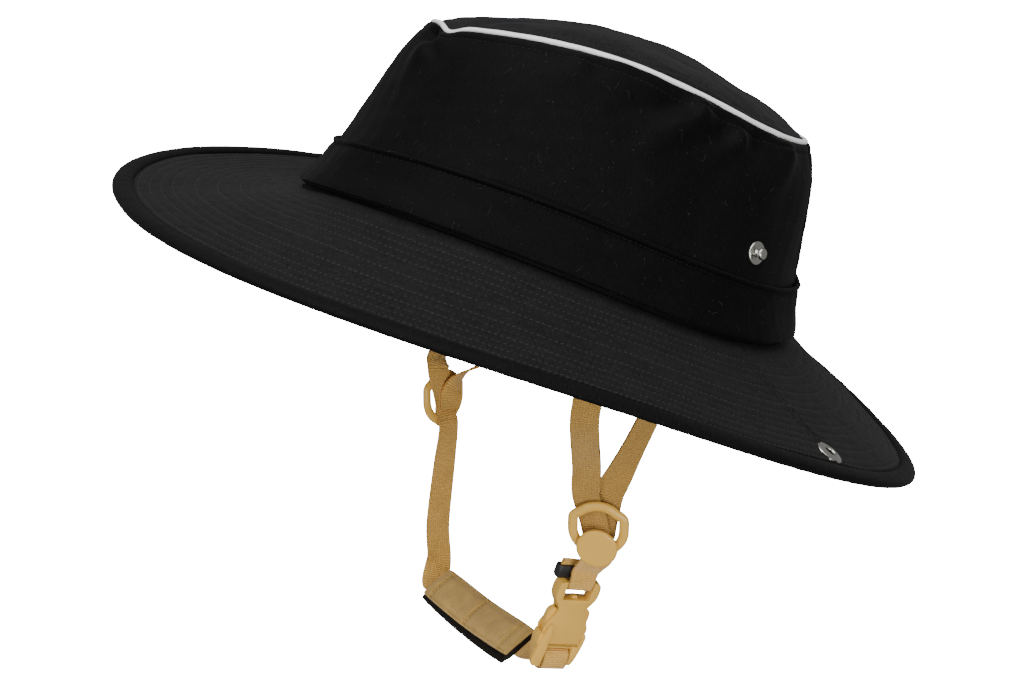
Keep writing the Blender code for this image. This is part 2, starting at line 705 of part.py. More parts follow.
def make_right_lower_strap():
    """From the right divider down to the pad, through its sleeve, and round the buckle's lower bar."""
    along, pad_across, normal = pad_normal()
    across_top = -turn_axis(RIGHT_DIVIDER, 0)
    across_bar = turn_axis(BUCKLE, 0)
    radius = BAR_RADIUS + GAP + 0.5 * WEB_THICKNESS
    middle = RIGHT_DIVIDER @ Vector((0.0, -0.0055, 0.0))
    straight = 0.007
    stations = [(middle, across_top),
                (RIGHT_DIVIDER @ Vector((0.0, -0.0130, -0.0002)), across_top),
                (RIGHT_DIVIDER @ Vector((0.0, -0.0190, -0.0008)), across_top),
                (RIGHT_LOWER_HIGH, (0.7 * across_top + 0.3 * pad_across).normalized()),
                (RIGHT_LOWER_LOW, (0.3 * across_top + 0.7 * pad_across).normalized()),
                (PAD_RIGHT_END - along * straight, pad_across)]
    stations += [(place, pad_across) for place in pad_path()]
    stations += [(PAD_LEFT_END + along * straight, pad_across),
                 (BUCKLE @ Vector((0.0, -0.0024, -0.0075)), across_bar)]
    stations += [(place, across_bar) for place in bar_wrap(BUCKLE, 0.0, radius, -105, 150, 7)]
    return make_strap("right_lower_strap", stations, TAN_WEBBING, steps=2)


def oval_section(centre, across, normal, half_width, half_thickness, count):
    """A flattened oval, fuller than an ellipse."""
    points = []
    for index in range(count):
        turn = 2 * math.pi * index / count
        reach = (abs(math.cos(turn)) ** 3 + abs(math.sin(turn)) ** 3) ** (-1 / 3)
        points.append(centre + across * (half_width * reach * math.cos(turn))
                      + normal * (half_thickness * reach * math.sin(turn)))
    return points


def make_chin_pad():
    """A padded sleeve round the webbing with a soft lining under it."""
    along, across, normal = pad_normal()
    stations = pad_path()
    span = len(stations) - 1
    half_width = 0.5 * PAD_WIDTH
    half_thickness = 0.5 * PAD_THICKNESS
    outer = []
    inner = []
    for index, centre in enumerate(stations):
        taper = 1.0 - 0.22 * abs(2 * index / span - 1) ** 6
        outer.append(oval_section(centre, across, normal, half_width, half_thickness * taper, 12))
        inner.append(oval_section(centre, across, normal, 0.5 * WEB_WIDTH + 0.0016,
                                  0.5 * WEB_THICKNESS + 3 * GAP, 12))
    builder = bmesh.new()
    skins = [[[builder.verts.new(point) for point in section] for section in skin] for skin in (outer, inner)]
    for skin in skins:
        for ring, following in zip(skin, skin[1:]):
            for corner in range(12):
                after = (corner + 1) % 12
                builder.faces.new((ring[corner], following[corner], following[after], ring[after]))
    for end in (0, -1):
        for corner in range(12):
            after = (corner + 1) % 12
            builder.faces.new((skins[0][end][corner], skins[0][end][after],
                               skins[1][end][after], skins[1][end][corner]))
    add_object("chin_pad_cover", builder, TAN_WEBBING)

    drop = half_thickness + GAP + 0.5 * PAD_LINING
    lining = []
    for index, centre in enumerate(stations):
        lining.append(oval_section(centre - normal * drop - across * PAD_LINING_OFFSET, across, normal,
                                   half_width, 0.5 * PAD_LINING, 10))
    open_sweep("chin_pad_lining", lining, BLACK_COTTON)


def main():
    clear_scene()
    make_crown_side()
    make_crown_tip()
    make_crown_piping()
    make_hat_band()
    make_brim()
    make_brim_hem()
    make_snap()
    make_upper_straps()
    make_divider("left_divider", LEFT_DIVIDER, divider_lift())
    make_divider("right_divider", RIGHT_DIVIDER, divider_lift())
    make_button()
    make_left_lower_strap()
    make_strap_keeper()
    make_buckle()
    make_right_lower_strap()
    make_chin_pad()


main()
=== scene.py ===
"""A wide-brimmed cotton sun hat with a webbing chin harness, built round its CAD frame.

Metres. +Z is up the crown, -Y is the front of the hat, +X is the wearer's left. Angles go round the head
from the front, 0, through the wearer's left, a quarter turn.
"""

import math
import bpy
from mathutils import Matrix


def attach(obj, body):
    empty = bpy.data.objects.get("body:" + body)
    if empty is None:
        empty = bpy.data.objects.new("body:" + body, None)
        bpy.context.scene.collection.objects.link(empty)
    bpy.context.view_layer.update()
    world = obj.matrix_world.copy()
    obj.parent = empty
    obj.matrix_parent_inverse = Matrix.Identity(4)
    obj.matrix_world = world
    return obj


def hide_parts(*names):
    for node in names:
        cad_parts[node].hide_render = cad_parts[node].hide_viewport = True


bl_info = {
    "name": "Sun hat with chin harness",
    "version": (1, 0, 0),
    "blender": (4, 2, 0),
    "location": "3D View > Sidebar > Sun Hat",
    "description": "Builds the hat's cloth, stitching, snap, webbing, buckle and studio",
    "category": "Add Mesh",
}

import bmesh
import bpy
import numpy as np
from mathutils import Matrix, Vector

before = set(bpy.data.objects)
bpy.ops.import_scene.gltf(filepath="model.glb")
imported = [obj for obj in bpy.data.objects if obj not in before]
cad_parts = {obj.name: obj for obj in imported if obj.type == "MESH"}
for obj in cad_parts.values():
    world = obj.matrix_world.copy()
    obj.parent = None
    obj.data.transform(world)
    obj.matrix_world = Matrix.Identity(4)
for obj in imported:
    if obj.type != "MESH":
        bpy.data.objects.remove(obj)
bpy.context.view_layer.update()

GAP = 0.0003
ROUNDNESS = 2.2

# Crown and band
CLOTH = 0.0016
TOP_HEIGHT = 0.1040
SHOULDER_HEIGHT = 0.0326
TIP_DOME = 0.0132
CROWN_BULGE = 0.0036
BULGE_PEAK = (5 / 6) ** 5 / 6
PIPING_RADIUS = 0.0014
BAND_THICKNESS = 0.0014
BAND_FOLD = 0.0034
GROOVE = 0.0030
FOOT_INSET = 0.0022
PANEL_SEAM = 151.0
LINT_COUNT = 230

# Brim
BRIM_THICKNESS = 0.0026
BRIM_DISH = 0.22
BRIM_MEAN_WIDTH = 0.0885
ROW_WIDTH = 0.088
HEM_WIDTH = 0.0105
HEM_THICKNESS = 0.0056

# Snap
SNAP_ANGLE = 122.8
SNAP_SHARE = 0.444
STUD_BASE_RADIUS = 0.0062
STUD_POST_RADIUS = 0.0019
STUD_CAP_RADIUS = 0.0031
STUD_LENGTH = 0.0052
EYELET_RADIUS = 0.0078
EYELET_HOLE = 0.0030
EYELET_THICKNESS = 0.0016
EYELET_SHARE = 0.79

# Harness
WEB_WIDTH = 0.0150
WEB_THICKNESS = 0.0013
STRAP_LIFT = 0.012
DIVIDER_HALF_WIDTH = 0.0160
DIVIDER_TOP = 0.0156
DIVIDER_BOTTOM = 0.0185
DIVIDER_ARCH = 0.0046
DIVIDER_BAR = 0.0054
DIVIDER_DEPTH = 0.0040
FRONT_ENTRY = 0.0072
REAR_ENTRY = 0.0048
REAR_SPREAD = 2.2
STRAP_END = -0.0070
BUTTON_RADIUS = 0.0108
BUTTON_THICKNESS = 0.0028
BUTTON_DROP = 0.0098
PAD_WIDTH = 0.0215
PAD_THICKNESS = 0.0064
PAD_LINING = 0.0029
PAD_LINING_OFFSET = 0.0030
PAD_LINES = (0.09, 0.50, 0.91)

# Buckle
BUCKLE_WIDTH = 0.0286
BUCKLE_THICKNESS = 0.0072
BUCKLE_FOOT = 0.0092
BUCKLE_LENGTH = 0.0468
BUCKLE_WALL = 0.0016
BAR_RADIUS = 0.0018
LOOP_SLACK = 0.0016
TOP_BAR_INSET = 0.0026
TAIL_SHIFT = -0.0046
WINDOW_HEIGHT = 0.0062
WINDOW_HALF = 0.5 * WEB_WIDTH + 2 * GAP
WRAP_RADIUS = BAR_RADIUS + GAP + 0.5 * WEB_THICKNESS
TAIL_CLEAR = 0.0006
PLUG_LOW = 0.0072
BUCKLE_HALF = 0.5 * BUCKLE_WIDTH
BUCKLE_DEPTH = 0.5 * BUCKLE_THICKNESS

# Outlines on the buckle: the share of its half width across, and millimetres up.
SOCKET_EDGE = ((0.80, 6.2), (0.80, 12.0), (0.90, 15.5), (0.92, 18.5), (0.78, 23.0), (0.60, 27.5),
               (0.60, 31.0), (0.74, 34.0), (0.86, 37.5), (0.88, 42.5), (0.82, 45.8), (0.70, 46.8))
CHEEK = ((0.60, -4.2), (0.74, -3.8), (0.83, -1.0), (0.92, 4.5), (0.99, 11.5), (0.95, 15.0), (0.85, 14.5),
         (0.80, 7.0))
ARM = ((0.80, 15.0), (0.86, 19.5), (0.90, 24.5), (0.84, 28.5), (0.66, 30.2), (0.56, 28.0), (0.60, 23.0),
       (0.56, 15.0))
BLADE = ((-0.62, -4.0), (-0.98, -3.6), (-1.02, 3.0), (-0.90, 13.0), (-0.76, 20.6), (-0.66, 21.2),
         (-0.60, 15.0), (-0.58, 5.0))
BLADE_ROOT = ((-0.98, -3.0), (-0.66, -3.0), (-0.66, 5.0), (-0.98, 5.0))


# Shapes shared by the pieces

def unit(vectors):
    return vectors / np.linalg.norm(vectors, axis=-1, keepdims=True)


class Ring:
    """A level oval round the head whose height waves as it goes round."""

    def __init__(self, front, back, half_width, height, pitch, saddle, lean, twist):
        self.front = front
        self.back = back
        self.half_width = half_width
        self.height = height
        self.wave = (pitch, saddle, lean, twist)

    def points(self, angle):
        cosine = np.cos(angle)
        sine = np.sin(angle)
        reach = (np.abs(cosine) ** ROUNDNESS + np.abs(sine) ** ROUNDNESS) ** (-1.0 / ROUNDNESS)
        depth = np.where(cosine > 0, self.front, self.back)
        pitch, saddle, lean, twist = self.wave
        lift = pitch * cosine + saddle * np.cos(2 * angle) + lean * sine + twist * np.sin(2 * angle)
        return np.stack([self.half_width * sine * reach, -depth * cosine * reach, self.height + lift], -1)


FOOT = Ring(0.1361, 0.1376, 0.1154, 0.0, pitch=-0.0009, saddle=-0.0011, lean=0.0057, twist=0.0083)
SHOULDER = Ring(0.1234, 0.1310, 0.1102, SHOULDER_HEIGHT,
                pitch=-0.0010, saddle=-0.0029, lean=0.0057, twist=0.0083)
TOP = Ring(0.0970, 0.1137, 0.0800, TOP_HEIGHT, pitch=0.0011, saddle=-0.0074, lean=0.0055, twist=0.0059)
RIM = Ring(0.2272, 0.2222, 0.1998, -0.0290, pitch=0.0067, saddle=-0.0095, lean=-0.0034, twist=0.0046)


def bump(distance, width):
    """A smooth bump, 1 in its middle, that fades over a width."""
    return np.exp(-(distance / width) ** 2)


def ease(value):
    """0 below 0, 1 above 1, and smooth between."""
    held = np.clip(value, 0.0, 1.0)
    return held * held * (3 - 2 * held)


def turn_between(angle, degrees):
    """The signed angle from a direction round the head, in radians."""
    return (angle - math.radians(degrees) + np.pi) % (2 * np.pi) - np.pi


def uneven(points, length, seed, count=7):
    """Soft uneven waves over places, about -1 to 1, of a given length."""
    source = np.random.default_rng(seed)
    total = np.zeros(points.shape[:-1])
    for _ in range(count):
        way = source.normal(size=3)
        way /= np.linalg.norm(way)
        stretch = source.uniform(0.7, 1.5)
        total += np.sin(points @ way * (2 * np.pi / (length * stretch)) + source.uniform(0, 2 * np.pi))
    return total / math.sqrt(count)


# The top seam's rises, as direction (degrees), width (degrees) and height, and its one pucker.
PUCKER_ANGLE = 10.0
PUCKER_WIDTH = 8.0
PUCKER_DEPTH = 0.0036
SEAM_RISES = ((-8.0, 24.0, 0.0046), (126.0, 20.0, -0.0008), (160.0, 30.0, 0.0040))


def wall(angle, share):
    """The band and crown's outer face, from the foot at 0 to the top seam at 1."""
    middle = SHOULDER_HEIGHT / TOP_HEIGHT
    foot = (share - middle) * (share - 1) / middle
    shoulder = share * (share - 1) / (middle * (middle - 1))
    top = share * (share - middle) / (1 - middle)
    places = (foot[..., None] * FOOT.points(angle) + shoulder[..., None] * SHOULDER.points(angle)
              + top[..., None] * TOP.points(angle))
    bulge = CROWN_BULGE * share ** 5 * (1 - share) / BULGE_PEAK
    places[..., 0] += np.sin(angle) * bulge
    places[..., 1] -= np.cos(angle) * bulge
    for centre, width, rise in SEAM_RISES:
        near = bump(turn_between(angle, centre), math.radians(width))
        places[..., 2] += rise * near * ease(share) ** 2
    near = bump(turn_between(angle, PUCKER_ANGLE), math.radians(PUCKER_WIDTH))
    places[..., 2] -= PUCKER_DEPTH * near * ease((share - 0.8) / 0.2)
    return places


def brim_sheet(angle, share):
    """The brim's top, from the crown's foot at 0 to the rim at 1."""
    foot = FOOT.points(angle)
    rim = RIM.points(angle)
    places = foot + (rim - foot) * share[..., None]
    curve = share + BRIM_DISH * share * (1 - share)
    places[..., 2] = foot[..., 2] + (rim[..., 2] - foot[..., 2]) * curve
    return places


def ways(surface, angle, share):
    """The way round, the way onward and the way out at places on a surface."""
    step = 0.01
    around = unit(surface(angle + step, share) - surface(angle - step, share))
    onward = unit(surface(angle, share + step) - surface(angle, share - step))
    return around, onward, unit(np.cross(around, onward))


def brim_width(angle):
    return np.linalg.norm(RIM.points(angle) - FOOT.points(angle), axis=-1)


def brim_place(angle, share, lift):
    """A place over the brim's top, raised along its normal."""
    return brim_sheet(angle, share) - ways(brim_sheet, angle, share)[2] * np.asarray(lift)[..., None]


def seat_place(angle, depth, lift):
    """A place over the brim's inner edge, at a depth in from the crown's outer face."""
    return brim_place(angle, -depth / brim_width(angle), lift)


def turns(count, *dense):
    """Angles round the head, closer together near some directions given in degrees."""
    whole = np.linspace(0, 2 * np.pi, count, endpoint=False)
    near = [math.radians(centre) + np.radians(np.linspace(-2.5, 2.5, 25)) for centre in dense]
    return np.unique(np.round(np.concatenate([whole] + near) % (2 * np.pi), 6))


# Folds in the crown: start angle and height, end angle and height (mm), width (mm), depth (steps).
FOLD_STEP = 0.0016
CREASES = [
    (99.5, 96.0, 84.0, 68.0, 6.0, 3.0),
    (95.0, 97.0, 76.0, 84.0, 5.5, -2.8),
    (107.0, 93.0, 92.0, 76.0, 6.0, -3.0),
    (113.0, 93.0, 106.0, 83.0, 4.0, 2.2),
    (119.5, 95.0, 104.5, 72.0, 6.5, -2.8),
    (133.0, 96.0, 124.0, 72.0, 6.5, 2.2),
    (62.0, 99.0, 56.0, 84.0, 7.0, 1.2),
    (2.0, 99.0, 20.0, 84.0, 4.5, -2.8),
    (9.0, 91.0, 7.0, 76.0, 8.0, 3.0),
    (205.0, 96.0, 214.0, 70.0, 7.0, -2.4),
    (250.0, 96.0, 246.0, 74.0, 7.0, 1.8),
    (300.0, 97.0, 309.0, 72.0, 7.0, -2.2),
]


def crease_relief(angle, height):
    """The folds of the crown, as a distance out from its plain wall."""
    radius = 0.100
    total = np.zeros(angle.shape)
    for start, low, end, high, width, depth in CREASES:
        away = np.stack([turn_between(angle, start) * radius, height - 0.001 * low], axis=-1)
        along = np.array([math.radians(end - start) * radius, 0.001 * (high - low)])
        length = np.linalg.norm(along)
        share = (away @ along) / length ** 2
        nearest = np.clip(share, 0.0, 1.0)[..., None] * along
        gap = np.linalg.norm(away - nearest, axis=-1)
        fade = 1 - 0.75 * np.clip(share, 0.0, 1.0)
        total += FOLD_STEP * depth * fade * bump(gap, 0.001 * width)
    return total


def crown_relief(angle, share, places):
    """How far the crown's cloth stands off its plain wall."""
    height = share * TOP_HEIGHT
    below_seam = TOP_HEIGHT - height
    relief = crease_relief(angle, height) * ease(below_seam / 0.004)
    relief += 0.00055 * uneven(places, 0.060, 3) * ease(height / 0.03)
    relief += 0.00016 * uneven(places, 0.014, 4)
    relief += 0.0005 * bump(below_seam - 0.0030, 0.0016)
    relief -= 0.00045 * bump(below_seam - 0.0055, 0.0006)
    seam = turn_between(angle, PANEL_SEAM) * 0.11
    relief -= 0.0005 * bump(seam, 0.0007)
    relief += 0.0003 * bump(seam - 0.0025, 0.0018)
    return relief - FOOT_INSET * ease((0.0068 - height) / FOOT_INSET)


def brim_rows(settings):
    """The shares of the brim's width where its rows of stitches run."""
    edge = 1 - HEM_WIDTH / ROW_WIDTH
    return np.linspace(0.055, edge - 0.025, settings.stitch_rows)


def brim_relief(settings, angle, share, places, upper):
    """How far the quilted brim stands off its plain sheet."""
    relief = 0.00010 * uneven(places, 0.0075, 12)
    relief += 0.00045 * uneven(places, 0.075, 11)
    from_rim = (1 - share) * brim_width(angle)
    relief -= 0.0011 * bump(from_rim - HEM_WIDTH - 0.0002, 0.0011)
    for row in brim_rows(settings):
        relief -= settings.quilting * bump((share - row) * ROW_WIDTH, 0.0006)
    if upper:
        seam = turn_between(angle, SNAP_ANGLE) * (0.12 + 0.09 * share)
        relief -= 0.0011 * bump(seam, 0.0008)
        relief += 0.0006 * bump(seam + 0.0022, 0.0016)
        relief += 0.00035 * bump(seam - 0.0022, 0.0016)
    return relief * ease(share / 0.03)


def brim_top(settings, angle, share):
    places = brim_sheet(angle, share)
    return brim_place(angle, share, brim_relief(settings, angle, share, places, True))


# Meshes

def measured(points, wrap):
    """Each grid place's mean distance along the rows and across the columns, in metres."""
    closed = points
    if wrap[0]:
        closed = np.concatenate([closed, closed[:1]], axis=0)
    if wrap[1]:
        closed = np.concatenate([closed, closed[:, :1]], axis=1)
    rows = np.linalg.norm(np.diff(closed, axis=0), axis=-1).mean(axis=1)
    columns = np.linalg.norm(np.diff(closed, axis=1), axis=-1).mean(axis=0)
    along = np.concatenate([[0.0], np.cumsum(rows)])
    across = np.concatenate([[0.0], np.cumsum(columns)])
    across -= 0.5 * across[-1]
    grid = np.zeros(closed.shape)
    grid[..., 0] = along[:, None]
    grid[..., 1] = across[None, :]
    return grid


def grid_mesh(name, points, wrap=(True, True), caps=False):
    """A closed skin over a grid of places, with each corner's place in the cloth kept as "cloth"."""
    rows, columns = points.shape[:2]
    cloth = measured(points, wrap)
    row, column = np.meshgrid(np.arange(rows if wrap[0] else rows - 1),
                              np.arange(columns if wrap[1] else columns - 1), indexing="ij")
    corners = [(row, column), (row + 1, column), (row + 1, column + 1), (row, column + 1)]
    faces = np.stack([(r % rows) * columns + c % columns for r, c in corners], axis=-1).reshape(-1, 4)
    marks = np.stack([cloth[r, c] for r, c in corners], axis=-2).reshape(-1, 4, 3)
    flat = points.reshape(-1, 3)
    ends = [np.arange(columns), np.arange(columns)[::-1] + (rows - 1) * columns] if caps else []
    a, b, c, d = (flat[faces[:, index]] for index in range(4))
    volume = np.sum(np.cross(b - a, c - a) * a) + np.sum(np.cross(c - a, d - a) * a)
    for end in ends:
        ring = flat[end]
        volume += np.sum(np.cross(ring[1:-1] - ring[0], ring[2:] - ring[0]) @ ring[0])
    turn = -1 if volume < 0 else 1
    face_list = faces[:, ::turn].tolist() + [end[::turn].tolist() for end in ends]
    mark_list = np.concatenate([marks[:, ::turn].reshape(-1, 3), np.zeros((len(ends) * columns, 3))])
    return finish_mesh(name, flat, face_list, mark_list)


def finish_mesh(name, places, faces, marks=None):
    mesh = bpy.data.meshes.new(name)
    mesh.from_pydata(places.tolist(), [], faces)
    if marks is not None:
        attribute = mesh.attributes.new("cloth", "FLOAT_VECTOR", "CORNER")
        attribute.data.foreach_set("vector", np.ascontiguousarray(marks, dtype=np.float32).ravel())
    mesh.shade_smooth()
    return mesh


def add_piece(name, mesh, finish, slot, nodes=(), sharp=None):
    """Show a mesh as one piece of the hat, in place of CAD nodes."""
    piece = bpy.data.objects.new(name, mesh)
    bpy.context.scene.collection.objects.link(piece)
    mesh.materials.clear()
    mesh.materials.append(finish)
    if sharp is not None:
        mesh.set_sharp_from_angle(angle=math.radians(sharp))
    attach(piece, "root")
    if nodes:
        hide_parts(*nodes)
    return piece


def add_skin(name, points, finish, slot, nodes, **kind):
    """Show a closed skin over a grid of places as one piece."""
    return add_piece(name, grid_mesh(name, points), finish, slot, nodes, **kind)


def stitch_marks(places, normals, pitch, closed=True):
    """Middles, ways along and ways out of evenly spaced stitches on a line."""
    if closed:
        places = np.concatenate([places, places[:1]])
        normals = np.concatenate([normals, normals[:1]])
    steps = np.linalg.norm(np.diff(places, axis=0), axis=-1)
    distance = np.concatenate([[0.0], np.cumsum(steps)])
    count = max(1, int(round(distance[-1] / pitch)))
    middle = (np.arange(count) + 0.5) * distance[-1] / count
    reach = 0.25 * pitch

    def at(values, where):
        return np.stack([np.interp(where, distance, values[:, axis]) for axis in range(3)], axis=-1)
    centre = at(places, middle)
    along = unit(at(places, middle + reach) - at(places, middle - reach))
    return centre, along, unit(at(normals, middle))


def stitch_mesh(name, lines, length, radius):
    """Small threads, each a bowed capsule whose ends go down into the cloth."""
    centre, along, out = (np.concatenate(parts) for parts in zip(*lines))
    side = np.cross(out, along)
    source = np.random.default_rng(5)
    stretch = source.uniform(0.88, 1.08, len(centre))
    places = []
    for share, width in ((-0.5, 0.45), (-0.28, 1.0), (0.28, 1.0), (0.5, 0.45)):
        bow = radius * (0.75 - 4.5 * share * share)
        for corner in range(4):
            turn = math.pi * (0.25 + 0.5 * corner)
            places.append(centre + along * (length * share * stretch)[:, None]
                          + side * (radius * width * math.cos(turn))
                          + out * (bow + 0.8 * radius * width * math.sin(turn)))
    places = np.stack(places, axis=1)
    pattern = [(3, 2, 1, 0), (12, 13, 14, 15)]
    for ring in range(3):
        for corner in range(4):
            after = (corner + 1) % 4
            pattern.append((4 * ring + corner, 4 * ring + after, 4 * ring + 4 + after, 4 * ring + 4 + corner))
    pattern = np.array(pattern)
    faces = (pattern[None] + 16 * np.arange(len(centre))[:, None, None]).reshape(-1, 4)
    return finish_mesh(name, places.reshape(-1, 3), faces.tolist())


def turned_mesh(name, profile, place, sides=48):
    """A profile of (radius, height) pairs turned about the place's own +Z."""
    turn = np.linspace(0, 2 * np.pi, sides, endpoint=False)
    radius, height = np.array(profile).T
    local = np.stack([radius[None] * np.cos(turn)[:, None], radius[None] * np.sin(turn)[:, None],
                      height[None] + 0 * turn[:, None]], axis=-1)
    return grid_mesh(name, moved(place, local))


def moved(place, local):
    matrix = np.array(place)
    return local @ matrix[:3, :3].T + matrix[:3, 3]


# Materials

class Wire:
    """A node's output that can be used in sums."""

    def __init__(self, graph, socket):
        self.graph = graph
        self.socket = socket

    def sum(self, operation, first, second):
        return self.graph.node("ShaderNodeMath", {"operation": operation}, {0: first, 1: second})

    def __add__(self, other):
        return self.sum("ADD", self, other)

    def __sub__(self, other):
        return self.sum("SUBTRACT", self, other)

    def __mul__(self, other):
        return self.sum("MULTIPLY", self, other)

    def __gt__(self, other):
        return self.sum("GREATER_THAN", self, other)


class Graph:
    """One material and the nodes that feed its shader."""

    def __init__(self, name):
        self.material = bpy.data.materials.new(name)
        self.material.use_nodes = True
        self.tree = self.material.node_tree
        self.shader = self.tree.nodes["Principled BSDF"]

    def node(self, kind, settings, sockets, output=0):
        made = self.tree.nodes.new(kind)
        for key, value in settings.items():
            setattr(made, key, value)
        for key, value in sockets.items():
            self.feed(made.inputs[key], value)
        return Wire(self, made.outputs[output])

    def feed(self, target, value):
        if isinstance(value, Wire):
            self.tree.links.new(value.socket, target)
        else:
            target.default_value = value

    def set(self, **values):
        """Set or link the shader's sockets; an underscore in a name stands for a space."""
        for key, value in values.items():
            self.feed(self.shader.inputs[key.replace("_", " ")], value)
        return self.material

    def cloth(self, along, across):
        """Places in the cloth, in threads of the given lengths along and across."""
        mark = self.node("ShaderNodeAttribute", {"attribute_name": "cloth"}, {}, "Vector")
        return self.node("ShaderNodeVectorMath", {"operation": "MULTIPLY"},
                         {0: mark, 1: (1 / along, 1 / across, 1.0)}, "Vector")

    def apart(self, vector, axis):
        return self.node("ShaderNodeSeparateXYZ", {}, {"Vector": vector}, axis)

    def noise(self, vector, scale=1.0, detail=2.0, rough=0.5):
        return self.node("ShaderNodeTexNoise", {},
                         {"Vector": vector, "Scale": scale, "Detail": detail, "Roughness": rough})

    def place(self):
        return self.node("ShaderNodeTexCoord", {}, {}, "Object")

    def mix(self, share, first, second):
        return self.node("ShaderNodeMix", {"data_type": "RGBA"}, {"Factor": share, 6: first, 7: second}, 2)

    def ribs(self, axis, pitch):
        """A sine along one way of the cloth."""
        turn = self.apart(self.cloth(1.0, 1.0), axis) * (2 * math.pi / pitch)
        return self.node("ShaderNodeMath", {"operation": "SINE"}, {0: turn})

    def relief(self, height, distance, strength=1.0):
        return self.node("ShaderNodeBump", {}, {"Height": height, "Distance": distance, "Strength": strength},
                         "Normal")


def shade(colour, factor):
    return (*(min(1.0, channel * factor) for channel in colour[:3]), 1.0)


def cotton(name, settings, level):
    """Matt black cotton: fine threads up the cloth, soft mottling and a little lint. The level makes a
    lighter or darker copy of the same cloth for each piece: painted light and painted shade for how the light
    falls on it.
    """
    graph = Graph(name)
    threads = graph.noise(graph.cloth(0.0007, 0.0042), detail=3.0, rough=0.6)
    grain = graph.noise(graph.cloth(0.0006, 0.0006), detail=2.0)
    mottle = graph.noise(graph.place(), scale=55.0, detail=4.0, rough=0.6)
    specks = graph.noise(graph.place(), scale=900.0, detail=1.0) > 0.775
    tone = (threads - 0.5) * 1.9 + (mottle - 0.5) * 0.6 + (grain - 0.5) * 1.2 + 0.5
    base = graph.mix(tone, shade(settings.colour, 0.45 * level), shade(settings.colour, 1.62 * level))
    base = graph.mix(specks * 0.35, base, shade(settings.colour, 14.0))
    height = threads * 0.6 + grain * 0.6
    return graph.set(Base_Color=base, Roughness=0.62, Sheen_Weight=settings.sheen, Sheen_Roughness=0.42,
                     Sheen_Tint=(1.0, 1.0, 1.0, 1.0), Specular_IOR_Level=settings.gloss,
                     Normal=graph.relief(height, settings.weave, 0.8))


def thread(name, colour):
    graph = Graph(name)
    twist = graph.noise(graph.place(), scale=2600.0, detail=1.0)
    base = graph.mix(twist, shade(colour, 0.7), shade(colour, 1.3))
    return graph.set(Base_Color=base, Roughness=0.8, Specular_IOR_Level=0.2)


def piping_cloth(name, colour):
    graph = Graph(name)
    threads = graph.noise(graph.cloth(0.0009, 0.0009), detail=2.0)
    soil = graph.noise(graph.place(), scale=70.0, detail=3.0)
    base = graph.mix(soil, shade(colour, 0.95), shade(colour, 1.03))
    return graph.set(Base_Color=base, Roughness=0.65, Sheen_Weight=0.2,
                     Normal=graph.relief(threads, 0.0001, 0.5))


def webbing(name, colour, settings):
    """Woven webbing: fine ribs across it, broken by its threads."""
    graph = Graph(name)
    rib = graph.ribs("X", settings.rib)
    warp = graph.ribs("Y", 1.15 * settings.rib)
    fibre = graph.noise(graph.cloth(0.0022, 0.0005), detail=3.0, rough=0.6)
    wear = graph.noise(graph.place(), scale=90.0, detail=3.0)
    tone = (fibre - 0.5) * 0.9 + (wear - 0.5) * 0.7 + rib * 0.22 + warp * 0.10 + 0.5
    base = graph.mix(tone, shade(colour, 0.74), shade(colour, 1.20))
    height = rib * 0.75 + warp * 0.30 + fibre * 0.5
    return graph.set(Base_Color=base, Roughness=0.82, Sheen_Weight=0.25, Sheen_Roughness=0.4,
                     Specular_IOR_Level=0.25, Normal=graph.relief(height, 0.00028, 0.9))


def canvas(name, colour):
    """Ribbed canvas for the pad's cover."""
    graph = Graph(name)
    weave = graph.noise(graph.cloth(0.0024, 0.0005), detail=2.0, rough=0.6)
    wear = graph.noise(graph.place(), scale=120.0, detail=4.0)
    rib = graph.ribs("X", 0.0015)
    base = graph.mix((weave - 0.5) * 0.9 + rib * 0.20 + wear, shade(colour, 0.72), shade(colour, 1.22))
    return graph.set(Base_Color=base, Roughness=0.88, Sheen_Weight=0.2, Specular_IOR_Level=0.2,
                     Normal=graph.relief(rib * 0.7 + weave * 0.6, 0.0003, 0.8))


def plastic(name, colour, roughness=0.34):
    """Moulded satin plastic with a faint orange peel."""
    graph = Graph(name)
    peel = graph.noise(graph.place(), scale=700.0, detail=2.0)
    tone = graph.noise(graph.place(), scale=60.0, detail=2.0)
    base = graph.mix(tone, shade(colour, 0.94), shade(colour, 1.05))
    return graph.set(Base_Color=base, Roughness=peel * 0.12 + (roughness - 0.06),
                     Normal=graph.relief(peel, 0.00006, 0.5))


def metal(name, colour, roughness=0.22):
    """Nickel plate with light handling marks."""
    graph = Graph(name)
    marks = graph.noise(graph.place(), scale=500.0, detail=3.0)
    return graph.set(Base_Color=shade(colour, 1.0), Metallic=1.0, Roughness=marks * 0.12 + (roughness - 0.04),
                     Normal=graph.relief(marks, 0.00004, 0.4))


def plain(name, colour, roughness):
    return Graph(name).set(Base_Color=shade(colour, 1.0), Roughness=roughness, Specular_IOR_Level=0.1)


# Frames of the harness

def frame_matrix(origin, across, upward):
    """A frame whose X is across, whose Y is up and whose Z faces out."""
    up_axis = Vector(upward).normalized()
    out_axis = Vector(across).cross(up_axis).normalized()
    across_axis = up_axis.cross(out_axis).normalized()
    turn = Matrix((across_axis, up_axis, out_axis)).transposed().to_4x4()
    return Matrix.Translation(Vector(origin)) @ turn


